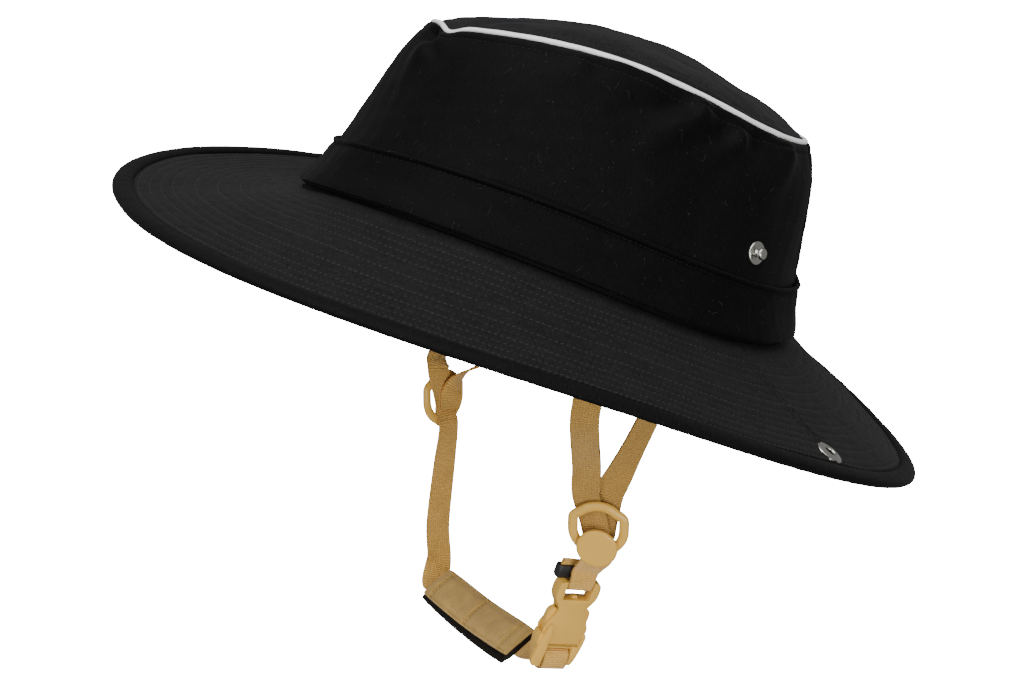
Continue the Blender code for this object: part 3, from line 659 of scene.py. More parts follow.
LEFT_DIVIDER = frame_matrix((0.0917, 0.0401, -0.1130), (0.45, 0.87, 0.20), (0.12, -0.36, 0.925))
RIGHT_DIVIDER = frame_matrix((-0.0876, 0.0072, -0.1144), (0.45, -0.87, 0.10), (-0.10, -0.31, 0.945))
BUCKLE = frame_matrix((0.0686, 0.0503, -0.1951), (-0.16, 0.97, 0.14), (0.16, -0.062, 0.98))
BUCKLE_TOP_BAR = BUCKLE @ Matrix.Translation((0.0, BUCKLE_LENGTH - TOP_BAR_INSET, 0.0))
PAD_LEFT_END = Vector((0.0380, 0.0452, -0.2037))
PAD_MIDDLE = Vector((-0.0180, 0.0398, -0.2127))
PAD_RIGHT_END = Vector((-0.0738, 0.0331, -0.2184))
PAD_STATIONS = (PAD_RIGHT_END, PAD_MIDDLE, PAD_LEFT_END)
PAD_ACROSS = Vector((-0.10, 0.62, 0.78))


def axis_of(place, column):
    return place.to_3x3().col[column].copy()


def smooth_path(points, steps):
    """Points along a Catmull-Rom curve through the given ones."""
    ends = [2 * points[0] - points[1]] + list(points) + [2 * points[-1] - points[-2]]
    path = []
    for index in range(1, len(ends) - 2):
        before, start, end, after = ends[index - 1:index + 3]
        for step in range(steps):
            t = step / steps
            path.append(0.5 * (2 * start + (end - before) * t
                               + (2 * before - 5 * start + 4 * end - after) * t * t
                               + (3 * start - before - 3 * end + after) * t ** 3))
    path.append(points[-1])
    return path


def strap_mesh(name, stations, steps):
    """Webbing through stations of (place, way across), with rounded edges."""
    path = smooth_path([Vector(place) for place, across in stations], steps)
    across_path = smooth_path([Vector(across) for place, across in stations], steps)
    edge = 0.5 * WEB_THICKNESS
    outline = []
    for side in (1, -1):
        for turn in np.linspace(-0.5 * np.pi, 0.5 * np.pi, 5):
            out = 0.5 * WEB_WIDTH - edge + edge * math.cos(turn)
            outline.append((side * out, side * edge * math.sin(turn)))
        for share in (0.5, 0.0, -0.5):
            outline.append((side * share * WEB_WIDTH, side * edge))
    sections = []
    for index, place in enumerate(path):
        before = path[max(index - 1, 0)]
        after = path[min(index + 1, len(path) - 1)]
        along = (after - before).normalized()
        across = across_path[index]
        across = (across - along * across.dot(along)).normalized()
        normal = along.cross(across).normalized()
        sections.append([place + across * side + normal * face for side, face in outline])
    return grid_mesh(name, np.array(sections), wrap=(False, True), caps=True)


def wall_frame(angle_degrees, share):
    angle = np.array([math.radians(angle_degrees)])
    around, upward, outward = ways(wall, angle, np.array([share]))
    return (Vector(wall(angle, np.array([share]))[0]), Vector(around[0]), Vector(upward[0]),
            Vector(outward[0]))


def strap_anchor(angle_degrees, side):
    """Three stations where a strap runs down the crown's inner face and off it."""
    hollow = WEB_WIDTH ** 2 / (3 * FOOT.half_width)
    depth = BAND_THICKNESS + GAP + CLOTH + GAP + hollow + 0.5 * WEB_THICKNESS
    angle = angle_degrees * side
    around = wall_frame(angle, 0.05)[1]
    stations = []
    for share in (STRAP_LIFT / TOP_HEIGHT, 0.0):
        place, _, _, outward = wall_frame(angle, share)
        stations.append((place - outward * depth, around))
    stations.append((stations[-1][0] + Vector((-0.0012 * side, 0.0, -0.012)), around))
    return stations


def divider_stations(place, start, entry, depth):
    """Stations of a strap that goes behind a divider's top bar and ends inside it."""
    across = axis_of(place, 0)
    tilted = (across - 0.35 * entry / DIVIDER_HALF_WIDTH * axis_of(place, 1)).normalized()
    return [(place @ Vector((start, DIVIDER_TOP + 0.018, 2.0 * depth)), tilted),
            (place @ Vector((entry, DIVIDER_TOP + 0.003, depth)), tilted),
            (place @ Vector((0.45 * entry, 0.3 * DIVIDER_TOP, depth)), across),
            (place @ Vector((0.1 * entry, STRAP_END, depth)), across)]


def upper_strap(anchor, side, divider, entry, depth, middle, skipped=0):
    """A strap from the crown through middle stations to a divider, past some of the divider's stations."""
    stations = strap_anchor(anchor, side)
    across = axis_of(divider, 0)
    wall_across = stations[-1][1]
    if wall_across.dot(across) < 0:
        stations = [(place, -way) for place, way in stations]
    stations += [(Vector(place), Vector(way).normalized()) for place, way in middle]
    start = entry * (REAR_SPREAD if depth else 1.0)
    return stations + divider_stations(divider, start, entry, depth)[skipped:]


def bar_wrap(place, radius, start, end, count):
    """Places round a bar through a frame's origin, with angles from +Z."""
    turn = np.radians(np.linspace(start, end, count))
    return [place @ Vector((0.0, radius * math.sin(one), radius * math.cos(one))) for one in turn]


def run_at(frame_place, across, places):
    """Stations at (up, out) places in the middle of a frame."""
    return [(frame_place @ Vector((0.0, up, out)), across) for up, out in places]


# A lower strap's places under a divider, as (up, out).
UNDER_DIVIDER = ((-0.0050, 0.0018), (-0.0085, 0.0016), (-0.0125, -0.0001), (-0.0190, -0.0008))


def left_lower_strap():
    across_top = axis_of(LEFT_DIVIDER, 0)
    across = axis_of(BUCKLE, 0)
    bar = BUCKLE_TOP_BAR
    stations = run_at(LEFT_DIVIDER, across_top, UNDER_DIVIDER)
    stations += run_at(bar, (0.3 * across_top + 0.7 * across).normalized(), [(0.0100, WRAP_RADIUS)])
    stations += run_at(bar, across, [(0.0050, WRAP_RADIUS)])
    stations += [(place, across) for place in bar_wrap(bar, WRAP_RADIUS, 0, -180, 6)]
    for up in (0.0060, 0.0130):
        stations.append((bar @ Vector((TAIL_SHIFT, up, -WRAP_RADIUS - TAIL_CLEAR)), across))
    return stations


def pad_ways():
    along = (PAD_LEFT_END - PAD_RIGHT_END).normalized()
    across = (PAD_ACROSS - along * PAD_ACROSS.dot(along)).normalized()
    return along, across, along.cross(across).normalized()


def right_lower_strap():
    along, pad_across, _ = pad_ways()
    across_top = -axis_of(RIGHT_DIVIDER, 0)
    across_bar = axis_of(BUCKLE, 0)
    stations = run_at(RIGHT_DIVIDER, across_top, UNDER_DIVIDER)
    stations += [(Vector((-0.0870, 0.0193, -0.1559)), Vector((-0.36, 0.92, -0.03)).normalized()),
                 (Vector((-0.0873, 0.0272, -0.1890)), Vector((-0.26, 0.96, 0.05)).normalized()),
                 (Vector((-0.0848, 0.0337, -0.2078)), (0.3 * across_top + 0.7 * pad_across).normalized()),
                 (PAD_RIGHT_END - along * 0.004, pad_across)]
    stations += [(place, pad_across) for place in smooth_path(PAD_STATIONS, 4)]
    stations.append((PAD_LEFT_END + along * 0.007, pad_across))
    stations += run_at(BUCKLE, across_bar, ((-0.0070, -0.0046), (-0.0076, 0.0004), (-0.0058, 0.0038),
                                            (-0.0018, 0.0046)))
    wrapped = bar_wrap(BUCKLE, WRAP_RADIUS + LOOP_SLACK, 30, 190, 6)
    return stations + [(place, across_bar) for place in wrapped]


# Settings

class HatClothSettings(bpy.types.PropertyGroup):
    colour: bpy.props.FloatVectorProperty(name="Cotton", description="Colour of the hat's cotton",
                                          default=(0.0060, 0.0060, 0.0064), subtype="COLOR", min=0, max=1)
    thread: bpy.props.FloatVectorProperty(name="Thread", description="Colour of the stitching thread",
                                          default=(0.036, 0.036, 0.038), subtype="COLOR", min=0, max=1)
    piping: bpy.props.FloatVectorProperty(name="Piping", description="Colour of the piping round the crown",
                                          default=(0.88, 0.88, 0.87), subtype="COLOR", min=0, max=1)
    sheen: bpy.props.FloatProperty(name="Sheen", description="How light the cotton is at a low angle",
                                   default=0.016, min=0, max=1, subtype="FACTOR")
    gloss: bpy.props.FloatProperty(name="Nap gloss", description="Strength of the cotton's soft highlights",
                                   default=0.055, min=0, max=1, subtype="FACTOR")
    weave: bpy.props.FloatProperty(name="Weave depth", description="Depth of the cotton's threads",
                                   default=0.00022, min=0, max=0.001, unit="LENGTH")
    quilting: bpy.props.FloatProperty(name="Row depth", description="How deep the brim's rows are pulled in",
                                      default=0.00048, min=0, max=0.001, unit="LENGTH")
    stitch_rows: bpy.props.IntProperty(name="Brim rows", description="Rows of stitches round the brim",
                                       default=14, min=2, max=24)
    stitch_pitch: bpy.props.FloatProperty(name="Stitch length", description="Distance from stitch to stitch",
                                          default=0.0031, min=0.0015, max=0.01, unit="LENGTH")
    stitch_radius: bpy.props.FloatProperty(name="Thread radius", description="Half the thread's thickness",
                                           default=0.00023, min=0.0001, max=0.001, unit="LENGTH")


class HatHarnessSettings(bpy.types.PropertyGroup):
    webbing: bpy.props.FloatVectorProperty(name="Webbing", description="Colour of the webbing",
                                           default=(0.55, 0.310, 0.070), subtype="COLOR", min=0, max=1)
    plastic: bpy.props.FloatVectorProperty(name="Plastic", description="Colour of the dividers and buckle",
                                           default=(0.82, 0.470, 0.078), subtype="COLOR", min=0, max=1)
    canvas: bpy.props.FloatVectorProperty(name="Pad canvas", description="Colour of the chin pad's cover",
                                          default=(0.74, 0.455, 0.125), subtype="COLOR", min=0, max=1)
    lining: bpy.props.FloatVectorProperty(name="Pad lining", description="Colour of the chin pad's lining",
                                          default=(0.016, 0.014, 0.012), subtype="COLOR", min=0, max=1)
    keeper: bpy.props.FloatVectorProperty(name="Keeper", description="Colour of the strap keeper",
                                          default=(0.012, 0.012, 0.013), subtype="COLOR", min=0, max=1)
    snap: bpy.props.FloatVectorProperty(name="Snap", description="Colour of the snap's metal",
                                        default=(0.50, 0.49, 0.46), subtype="COLOR", min=0, max=1)
    rib: bpy.props.FloatProperty(name="Rib pitch", description="Distance between the webbing's ribs",
                                 default=0.0013, min=0.0004, max=0.004, unit="LENGTH")
    rounding: bpy.props.FloatProperty(name="Edge rounding", description="Radius on the buckle's edges",
                                      default=0.0007, min=0.0001, max=0.0012, unit="LENGTH")


class HatStageSettings(bpy.types.PropertyGroup):
    floor: bpy.props.FloatVectorProperty(name="Floor", description="Colour of the studio floor",
                                         default=(0.90, 0.90, 0.90), subtype="COLOR", min=0, max=1)
    floor_depth: bpy.props.FloatProperty(name="Floor depth", description="How far the floor is under the hat",
                                         default=0.85, min=0.3, max=3, unit="LENGTH")
    top_light: bpy.props.FloatProperty(name="Top light", description="Strength of the overhead light",
                                       default=3.4, min=0, max=20)
    key_light: bpy.props.FloatProperty(name="Key light",
                                       description="Strength of the light beside the camera",
                                       default=20.0, min=0, max=500, unit="POWER")
    fill_light: bpy.props.FloatProperty(name="Fill light",
                                        description="Strength of the low light beside the harness",
                                        default=26.0, min=0, max=500, unit="POWER")
    glow: bpy.props.FloatProperty(name="Floor glow", description="How far the floor is lit to plain white",
                                  default=28.0, min=0, max=50)
    surround: bpy.props.FloatProperty(name="Surround", description="Strength of the white surround",
                                      default=0.30, min=0, max=3)


# Operators

class HAT_OT_crown(bpy.types.Operator):
    """Build the crown's side, its top panel and the piping between them"""
    bl_idname = "hat.crown"
    bl_label = "Crown"

    def execute(self, context):
        cloth = context.scene.hat_cloth
        self.side(cloth)
        self.piping(cloth)
        self.tip(cloth)
        return {"FINISHED"}

    def side(self, cloth):
        depth = BAND_THICKNESS + GAP
        top = 1 - (PIPING_RADIUS + 0.5 * GAP) / TOP_HEIGHT
        share = np.concatenate([np.linspace(0.02, 0.92, 76), np.linspace(0.925, top, 22)])
        angle, height = np.meshgrid(turns(380, PANEL_SEAM, PUCKER_ANGLE), share, indexing="ij")
        plain_wall = wall(angle, height)
        out = ways(wall, angle, height)[2]
        relief = crown_relief(angle, height, plain_wall)
        outer = plain_wall + out * (relief - depth)[..., None]
        inner = (plain_wall + out * (relief - depth - CLOTH)[..., None])[:, ::-4]
        around = angle[:, 0]
        foot_outer = seat_place(around, depth + FOOT_INSET, GAP)
        foot_inner = seat_place(around, depth + FOOT_INSET + CLOTH, GAP)
        points = np.concatenate([foot_outer[:, None], outer, inner, foot_inner[:, None]], axis=1)
        # Painted shade: the crown wall's cotton is darkened to 0.42 of the cloth's colour, for the upright
        # wall getting less light.
        add_skin("crown_wall", points, cotton("crown_cotton_painted_shade", cloth, 0.42), "black_cotton", ["crown_side"],
                 sharp=50)

    def piping(self, cloth):
        angle = turns(420, PUCKER_ANGLE)
        centre, outward, upward = piping_line(angle)
        turn = np.linspace(0, 2 * np.pi, 12, endpoint=False)
        radius = PIPING_RADIUS + 0.00008 * uneven(centre, 0.012, 21)
        points = (centre[:, None] + outward[:, None] * (radius[:, None] * np.cos(turn))[..., None]
                  + upward[:, None] * (radius[:, None] * np.sin(turn))[..., None])
        add_skin("piping", points, piping_cloth("piping_cloth", cloth.piping), "white_piping",
                 ["crown_piping"])

    def tip(self, cloth):
        angle = turns(300, PUCKER_ANGLE)
        edge = piping_line(angle)[0]
        middle = np.array([0.0, 0.5 * (TOP.back - TOP.front), TOP_HEIGHT])
        inward = (middle - edge) * np.array([1.0, 1.0, 0.0])
        rim = edge + unit(inward) * (PIPING_RADIUS + 0.5 * GAP)
        share = np.concatenate([np.linspace(0, 0.16, 12), np.linspace(0.2, 0.995, 26)])
        places = rim[:, None] + (middle - rim)[:, None] * share[None, :, None]
        lift = TIP_DOME * (1 - (1 - share) ** 4.0)[None] + 0.0007 * uneven(places, 0.050, 31)
        lift += 0.00025 * uneven(places, 0.016, 32)
        lift -= 0.0004 * bump((share[None] - 0.075) / 0.012, 1.0)
        lift *= ease(share / 0.03)[None]
        upper = places.copy()
        upper[..., 2] += lift + 0.5 * CLOTH
        lower = places[:, ::-2].copy()
        lower[..., 2] += lift[:, ::-2] - 0.5 * CLOTH
        points = np.concatenate([upper, lower], axis=1)
        # Painted light: the tip's cotton is lightened to 1.95 times the cloth's colour, for the top facing
        # the overhead light.
        add_skin("crown_top", points, cotton("tip_cotton_painted_light", cloth, 1.95), "black_cotton", ["crown_tip"],
                 sharp=60)


def piping_line(angle):
    """The piping's middle, and the ways out and up from it."""
    share = np.ones(angle.shape)
    _, upward, outward = ways(wall, angle, share)
    centre = wall(angle, share) - outward * (BAND_THICKNESS + GAP + 0.5 * CLOTH - 0.0002)
    return centre, outward, upward


class HAT_OT_band(bpy.types.Operator):
    """Build the hat band with its folded top edge"""
    bl_idname = "hat.band"
    bl_label = "Hat band"

    def execute(self, context):
        cloth = context.scene.hat_cloth
        top = SHOULDER_HEIGHT / TOP_HEIGHT
        share = np.concatenate([np.linspace(0.012, 0.052, 18), np.linspace(0.057, 0.10, 8),
                                np.linspace(0.11, 0.255, 16), np.linspace(0.260, top, 20)])
        angle, height = np.meshgrid(turns(380, SNAP_ANGLE), share, indexing="ij")
        plain_wall = wall(angle, height)
        out = ways(wall, angle, height)[2]
        relief = band_relief(angle, height, plain_wall)
        outer = plain_wall + out * relief[..., None]
        thick = 0.9 * BAND_THICKNESS - 0.5 * BAND_THICKNESS * ease((height - top + 0.012) / 0.012)
        thick -= 0.5 * BAND_THICKNESS * ease((0.05 - height) / 0.01)
        inner = (plain_wall + out * (np.minimum(relief, 0.0002) - thick)[..., None])[:, ::-3]
        foot_outer = seat_place(angle[:, 0], GROOVE, 2 * GAP)
        foot_inner = seat_place(angle[:, 0], GROOVE + 0.4 * BAND_THICKNESS, 2 * GAP)
        points = np.concatenate([foot_outer[:, None], outer, inner, foot_inner[:, None]], axis=1)
        # Painted shade: the band's cotton is darkened to 0.34 of the cloth's colour, for the low upright wall
        # getting less light.
        add_skin("band", points, cotton("band_cotton_painted_shade", cloth, 0.34), "black_cotton", ["hat_band"], sharp=60)
        return {"FINISHED"}


def band_relief(angle, share, places):
    """The band's rolled lower edge, its folded top and its join."""
    height = share * TOP_HEIGHT
    top = SHOULDER_HEIGHT - height
    relief = (0.0020 + GROOVE) * ease((height - 0.0041) / 0.0007) - GROOVE
    relief -= 0.0017 * ease((height - 0.0052) / 0.015)
    relief += 0.00045 * uneven(places, 0.045, 41) + 0.00012 * uneven(places, 0.010, 42)
    relief += 0.0010 * bump(top - 0.0012, 0.0013)
    relief -= 0.0007 * bump(top - BAND_FOLD, 0.0007)
    relief -= 0.0008 * ease(1 - top / 0.0006)
    join = turn_between(angle, SNAP_ANGLE - 1.4) * 0.115
    relief -= 0.0005 * bump(join, 0.0006) * ease((height - 0.004) / 0.003)
    relief += 0.0003 * bump(join - 0.002, 0.0016) * ease((height - 0.004) / 0.003)
    return relief


class HAT_OT_brim(bpy.types.Operator):
    """Build the stitched brim and its padded hem"""
    bl_idname = "hat.brim"
    bl_label = "Brim and hem"

    def execute(self, context):
        cloth = context.scene.hat_cloth
        self.plate(cloth)
        self.hem(cloth)
        return {"FINISHED"}

    def plate(self, cloth):
        edge = 1 - (HEM_WIDTH - 0.0016) / BRIM_MEAN_WIDTH
        inner_share = -(BAND_THICKNESS + GAP + CLOTH + FOOT_INSET) / BRIM_MEAN_WIDTH
        share = np.linspace(inner_share, edge, 86)
        angle, out = np.meshgrid(turns(380, SNAP_ANGLE), share, indexing="ij")
        places = brim_sheet(angle, out)
        upper = brim_place(angle, out, brim_relief(cloth, angle, out, places, True))
        lower = brim_place(angle, out, -BRIM_THICKNESS - brim_relief(cloth, angle, out, places, False))
        points = np.concatenate([upper, lower[:, ::-1]], axis=1)
        # Painted light: the brim's cotton is lightened to 1.5 times the cloth's colour, for its upward face
        # catching more light.
        add_skin("brim_plate", points, cotton("brim_cotton_painted_light", cloth, 1.50), "black_cotton", ["brim"], sharp=60)

    def hem(self, cloth):
        angle = turns(480, SNAP_ANGLE)
        width = brim_width(angle)
        share = 1 - 0.5 * HEM_WIDTH / width
        centre = brim_place(angle, share, -0.5 * BRIM_THICKNESS)
        outward = unit(brim_sheet(angle, np.ones(angle.shape)) - brim_sheet(angle, share))
        upward = -ways(brim_sheet, angle, share)[2]
        turn = np.linspace(0, 2 * np.pi, 28, endpoint=False)
        wide, high = (np.sign(way) * np.abs(way) ** 0.9 for way in (np.cos(turn), np.sin(turn)))
        size = 1 + 0.035 * uneven(centre, 0.0070, 51) + 0.03 * uneven(centre, 0.035, 52)
        size *= 1 - 0.10 * bump(turn_between(angle, SNAP_ANGLE - 0.5) * 0.21, 0.0009)
        points = (centre[:, None] + outward[:, None] * (0.5 * HEM_WIDTH * wide)[None, :, None]
                  + upward[:, None] * (0.5 * HEM_THICKNESS * size[:, None] * high[None])[..., None])
        # Painted shade: the hem's cotton is darkened to 0.60 of the cloth's colour, for the rolled hem's
        # shaded underside.
        piece = add_skin("hem", points, cotton("hem_cotton_painted_shade", cloth, 0.60), "black_cotton", ["brim_hem"])


class HAT_OT_stitching(bpy.types.Operator):
    """Lay the rows of stitches on the brim, hem, band and crown"""
    bl_idname = "hat.stitching"
    bl_label = "Stitching"

    def execute(self, context):
        cloth = context.scene.hat_cloth
        finish = thread("stitch_thread", cloth.thread)
        length = 0.78 * cloth.stitch_pitch
        around = np.linspace(0, 2 * np.pi, 900, endpoint=False)
        rows = []
        for row in brim_rows(cloth):
            share = np.full(around.shape, row)
            out = -ways(brim_sheet, around, share)[2]
            rows.append(stitch_marks(brim_top(cloth, around, share), out, cloth.stitch_pitch))
        add_piece("brim_stitches", stitch_mesh("brim_stitches", rows, length, cloth.stitch_radius), finish,
                  "black_cotton")
        edges = [self.hem_row(cloth, around)]
        edges.append(self.wall_row(cloth, around, 1 - 0.0055 / TOP_HEIGHT, crown_relief,
                                   -(BAND_THICKNESS + GAP)))
        top = SHOULDER_HEIGHT - BAND_FOLD
        edges.append(self.wall_row(cloth, around, top / TOP_HEIGHT, band_relief, 0.0))
        edges += self.seam_rows(cloth)
        # Painted shade: the hem, crown, band and seam rows take a copy of the thread darkened to 0.22, for
        # the dark look of their sunk needle holes.
        add_piece("edge_stitches", stitch_mesh("edge_stitches", edges, length, cloth.stitch_radius),
                  thread("edge_thread_painted_shade", shade(cloth.thread, 0.22)[:3]), "black_cotton")
        return {"FINISHED"}

    def hem_row(self, cloth, around):
        share = 1 - (HEM_WIDTH + 0.0012) / brim_width(around)
        out = -ways(brim_sheet, around, share)[2]
        return stitch_marks(brim_top(cloth, around, share), out, cloth.stitch_pitch)

    def wall_row(self, cloth, around, height, relief, depth):
        share = np.full(around.shape, height)
        places = wall(around, share)
        out = ways(wall, around, share)[2]
        places = places + out * (relief(around, share, places) + depth)[..., None]
        return stitch_marks(places, out, cloth.stitch_pitch)

    def seam_rows(self, cloth):
        """Two rows beside the brim's join."""
        rows = []
        share = np.linspace(0.03, 0.985 - HEM_WIDTH / BRIM_MEAN_WIDTH, 60)
        for side in (-0.0024, 0.0024):
            angle = math.radians(SNAP_ANGLE) + side / (0.12 + 0.09 * share)
            out = -ways(brim_sheet, angle, share)[2]
            rows.append(stitch_marks(brim_top(cloth, angle, share), out, cloth.stitch_pitch, closed=False))
        return rows


class HAT_OT_lint(bpy.types.Operator):
    """Scatter a few loose fibres over the cloth"""
    bl_idname = "hat.lint"
    bl_label = "Lint"

    def execute(self, context):
        cloth = context.scene.hat_cloth
        source = np.random.default_rng(9)
        places = []
        faces = []
        for index in range(LINT_COUNT):
            angle = source.uniform(0, 2 * np.pi)
            on_brim = index % 3 == 0
            share = source.uniform(0.1, 0.85) if on_brim else source.uniform(0.04, 0.92)
            heading = source.uniform(0, 2 * np.pi)
            length = source.uniform(0.0014, 0.0062)
            bend = source.uniform(-0.9, 0.9)
            path = []
            for step in range(6):
                path.append((angle, share))
                heading += bend * 0.5
                angle += length / 6 * math.cos(heading) / 0.12
                share += length / 6 * math.sin(heading) / 0.10
            turn, height = np.array(path).T
            if on_brim:
                line = brim_top(cloth, turn, height)
                out = -ways(brim_sheet, turn, height)[2]
            else:
                line = wall(turn, height)
                out = ways(wall, turn, height)[2]
                band = height * TOP_HEIGHT < SHOULDER_HEIGHT
                lift = np.where(band, band_relief(turn, height, line),
                                crown_relief(turn, height, line) - BAND_THICKNESS - GAP)
                line = line + out * lift[:, None]
            side = unit(np.cross(out, np.gradient(line, axis=0)))
            base = sum(len(part) for part in places)
            thick = 0.00005
            for corner in range(3):
                spin = 2 * math.pi * corner / 3
                ring = line + out * (0.0002 + thick * math.sin(spin)) + side * (thick * math.cos(spin))
                places.append(ring)
            for step in range(5):
                for corner in range(3):
                    after = (corner + 1) % 3
                    faces.append((base + 6 * corner + step, base + 6 * after + step,
                                  base + 6 * after + step + 1, base + 6 * corner + step + 1))
            faces.append((base, base + 12, base + 6))
            faces.append((base + 5, base + 11, base + 17))
        mesh = finish_mesh("lint", np.concatenate(places), faces)
        add_piece("lint", mesh, plain("lint_fibre", (0.055, 0.055, 0.058), 0.9), "black_cotton")
        return {"FINISHED"}


class HAT_OT_snap(bpy.types.Operator):
    """Build the snap's stud on the crown and its eyelet on the brim"""
    bl_idname = "hat.snap"
    bl_label = "Snap"

    def execute(self, context):
        harness = context.scene.hat_harness
        place, around, upward, outward = wall_frame(SNAP_ANGLE, SNAP_SHARE)
        seat = place - outward * (BAND_THICKNESS + GAP - 0.0004)
        base, post, cap, length = STUD_BASE_RADIUS, STUD_POST_RADIUS, STUD_CAP_RADIUS, STUD_LENGTH
        profile = [(0.0001, -0.0006), (0.96 * base, -0.0006), (base, -0.0002), (base, 0.0003),
                   (0.93 * base, 0.0008), (0.80 * base, 0.0010), (0.62 * base, 0.0008), (0.48 * base, 0.0006),
                   (1.15 * post, 0.0006), (0.85 * post, 0.0013), (0.85 * post, 0.55 * length),
                   (0.95 * cap, 0.62 * length), (cap, 0.72 * length), (0.98 * cap, 0.84 * length),
                   (0.80 * cap, 0.95 * length), (0.45 * cap, length), (0.0001, length)]
        add_piece("stud", turned_mesh("stud", profile, frame_matrix(seat, around, upward)),
                  metal("stud_metal", harness.snap), "bright_metal", ["snap_post"], sharp=50)

        angle = np.array([math.radians(SNAP_ANGLE)])
        share = np.array([EYELET_SHARE])
        around, onward, normal = ways(brim_sheet, angle, share)
        seat = Vector(brim_sheet(angle, share)[0]) - Vector(normal[0]) * 0.0001
        place = frame_matrix(seat, Vector(onward[0]), Vector(around[0]))
        rim, hole, thick = EYELET_RADIUS, EYELET_HOLE, EYELET_THICKNESS
        profile = [(hole, -0.0003), (0.97 * rim, -0.0003), (rim, 0.0001), (0.98 * rim, 0.35 * thick),
                   (0.90 * rim, 0.60 * thick), (0.76 * rim, 0.72 * thick), (0.62 * rim, 0.82 * thick),
                   (1.40 * hole, thick), (1.22 * hole, 1.02 * thick), (1.05 * hole, 0.85 * thick),
                   (hole, 0.5 * thick)]
        add_piece("eyelet", turned_mesh("eyelet", profile, place), metal("eyelet_metal", harness.snap),
                  "bright_metal", ["snap_socket"], sharp=50)
        return {"FINISHED"}


class HAT_OT_straps(bpy.types.Operator):
    """Build the six runs of webbing"""
    bl_idname = "hat.straps"
    bl_label = "Straps"

    def execute(self, context):
        harness = context.scene.hat_harness
        behind = -(WEB_THICKNESS + 3 * GAP)
        runs = {
            "left_front_strap": upper_strap(76, 1, LEFT_DIVIDER, -FRONT_ENTRY, 0.0,
                                            [((0.1040, -0.0006, -0.0330), (0.36, 0.90, 0.16)),
                                             ((0.1015, 0.0088, -0.0600), (0.40, 0.88, 0.24))]),
            "left_rear_strap": upper_strap(113, 1, LEFT_DIVIDER, REAR_ENTRY, behind,
                                           [((0.1010, 0.0436, -0.0380), (-0.32, 0.92, 0.18)),
                                            ((0.0980, 0.0408, -0.0640), (-0.22, 0.93, 0.28)),
                                            ((0.0950, 0.0395, -0.0830), (0.10, 0.90, 0.36))], 1),
            "right_front_strap": upper_strap(74, -1, RIGHT_DIVIDER, FRONT_ENTRY, 0.0,
                                             [((-0.0990, -0.0100, -0.0630), (0.88, -0.45, 0.15)),
                                              ((-0.0965, -0.0030, -0.0885), (0.80, -0.58, 0.05))], 1),
            "right_rear_strap": upper_strap(120, -1, RIGHT_DIVIDER, -REAR_ENTRY, behind,
                                            [((-0.0920, 0.0420, -0.0700), (0.86, -0.48, 0.10)),
                                             ((-0.0880, 0.0232, -0.0892), (0.90, -0.42, 0.10)),
                                             ((-0.0892, 0.0135, -0.0985), (0.80, -0.58, 0.00))], 2),
            "left_lower_strap": left_lower_strap(),
            "right_lower_strap": right_lower_strap(),
        }
        for node, stations in runs.items():
            name = node.replace("strap", "webbing")
            # Painted light and shade: the two upper left straps take a darker copy of the webbing's colour
            # for the brim's shade over them, and the other straps a lighter copy.
            level = 0.88 if node.startswith("left") and "lower" not in node else 1.5
            finish = webbing(name + "_weave_painted_light", shade(harness.webbing, level)[:3], harness)
            add_piece(name, strap_mesh(name, stations, 8), finish, "tan_webbing", [node], sharp=70)
        return {"FINISHED"}


class HAT_OT_dividers(bpy.types.Operator):
    """Build the two strap dividers and the round button on the left one"""
    bl_idname = "hat.dividers"
    bl_label = "Dividers"

    def execute(self, context):
        harness = context.scene.hat_harness
        lift = 0.5 * (WEB_THICKNESS + DIVIDER_DEPTH) + GAP
        for name, place in (("left_divider", LEFT_DIVIDER), ("right_divider", RIGHT_DIVIDER)):
            add_piece(name + "_ring", self.ring(name, place, lift),
                      plastic(name + "_plastic", harness.plastic), "tan_plastic", [name])
        top = lift + 0.5 * DIVIDER_DEPTH + GAP
        place = LEFT_DIVIDER @ Matrix.Translation((0.0, -BUTTON_DROP, top))
        radius, thick = BUTTON_RADIUS, BUTTON_THICKNESS
        profile = [(0.0001, 0.0), (0.90 * radius, 0.0), (0.97 * radius, 0.12 * thick), (radius, 0.35 * thick),
                   (radius, 0.62 * thick), (0.97 * radius, 0.84 * thick), (0.91 * radius, 0.97 * thick),
                   (0.84 * radius, thick), (0.55 * radius, 0.98 * thick), (0.0001, 0.96 * thick)]
        add_piece("divider_button", turned_mesh("divider_button", profile, place, sides=64),
                  plastic("button_plastic", harness.plastic), "tan_plastic", ["left_divider_button"],
                  sharp=60)
        return {"FINISHED"}

    def ring(self, name, place, lift):
        """A rounded triangle of bar, wide at the top, as the outline round four circles."""
        corner, foot = 0.0062, 0.0058
        shoulder = DIVIDER_TOP - DIVIDER_ARCH - corner
        circles = [(DIVIDER_HALF_WIDTH - corner, shoulder, corner),
                   (corner - DIVIDER_HALF_WIDTH, shoulder, corner),
                   (0.0, DIVIDER_TOP - DIVIDER_HALF_WIDTH, DIVIDER_HALF_WIDTH),
                   (0.0, foot - DIVIDER_BOTTOM, foot)]
        spin = np.linspace(0, 2 * np.pi, 14, endpoint=False)
        sections = []
        for turn in (np.arange(120) + 0.5) * (2 * np.pi / 120):
            across, up = math.cos(turn), math.sin(turn)
            x, y, radius = max(circles, key=lambda one: one[0] * across + one[1] * up + one[2])
            reach = radius - 0.5 * DIVIDER_BAR + 0.5 * DIVIDER_BAR * np.cos(spin)
            sections.append(np.stack([x + across * reach, y + up * reach,
                                      lift + 0.5 * DIVIDER_DEPTH * np.sin(spin)], axis=-1))
        return grid_mesh(name, moved(place, np.array(sections)))


def smooth_outline(points, steps):
    """A closed outline through points, rounded between them."""
    vectors = [Vector((across, up, 0.0)) for across, up in points]
    return [(place.x, place.y) for place in smooth_path(vectors, steps)]


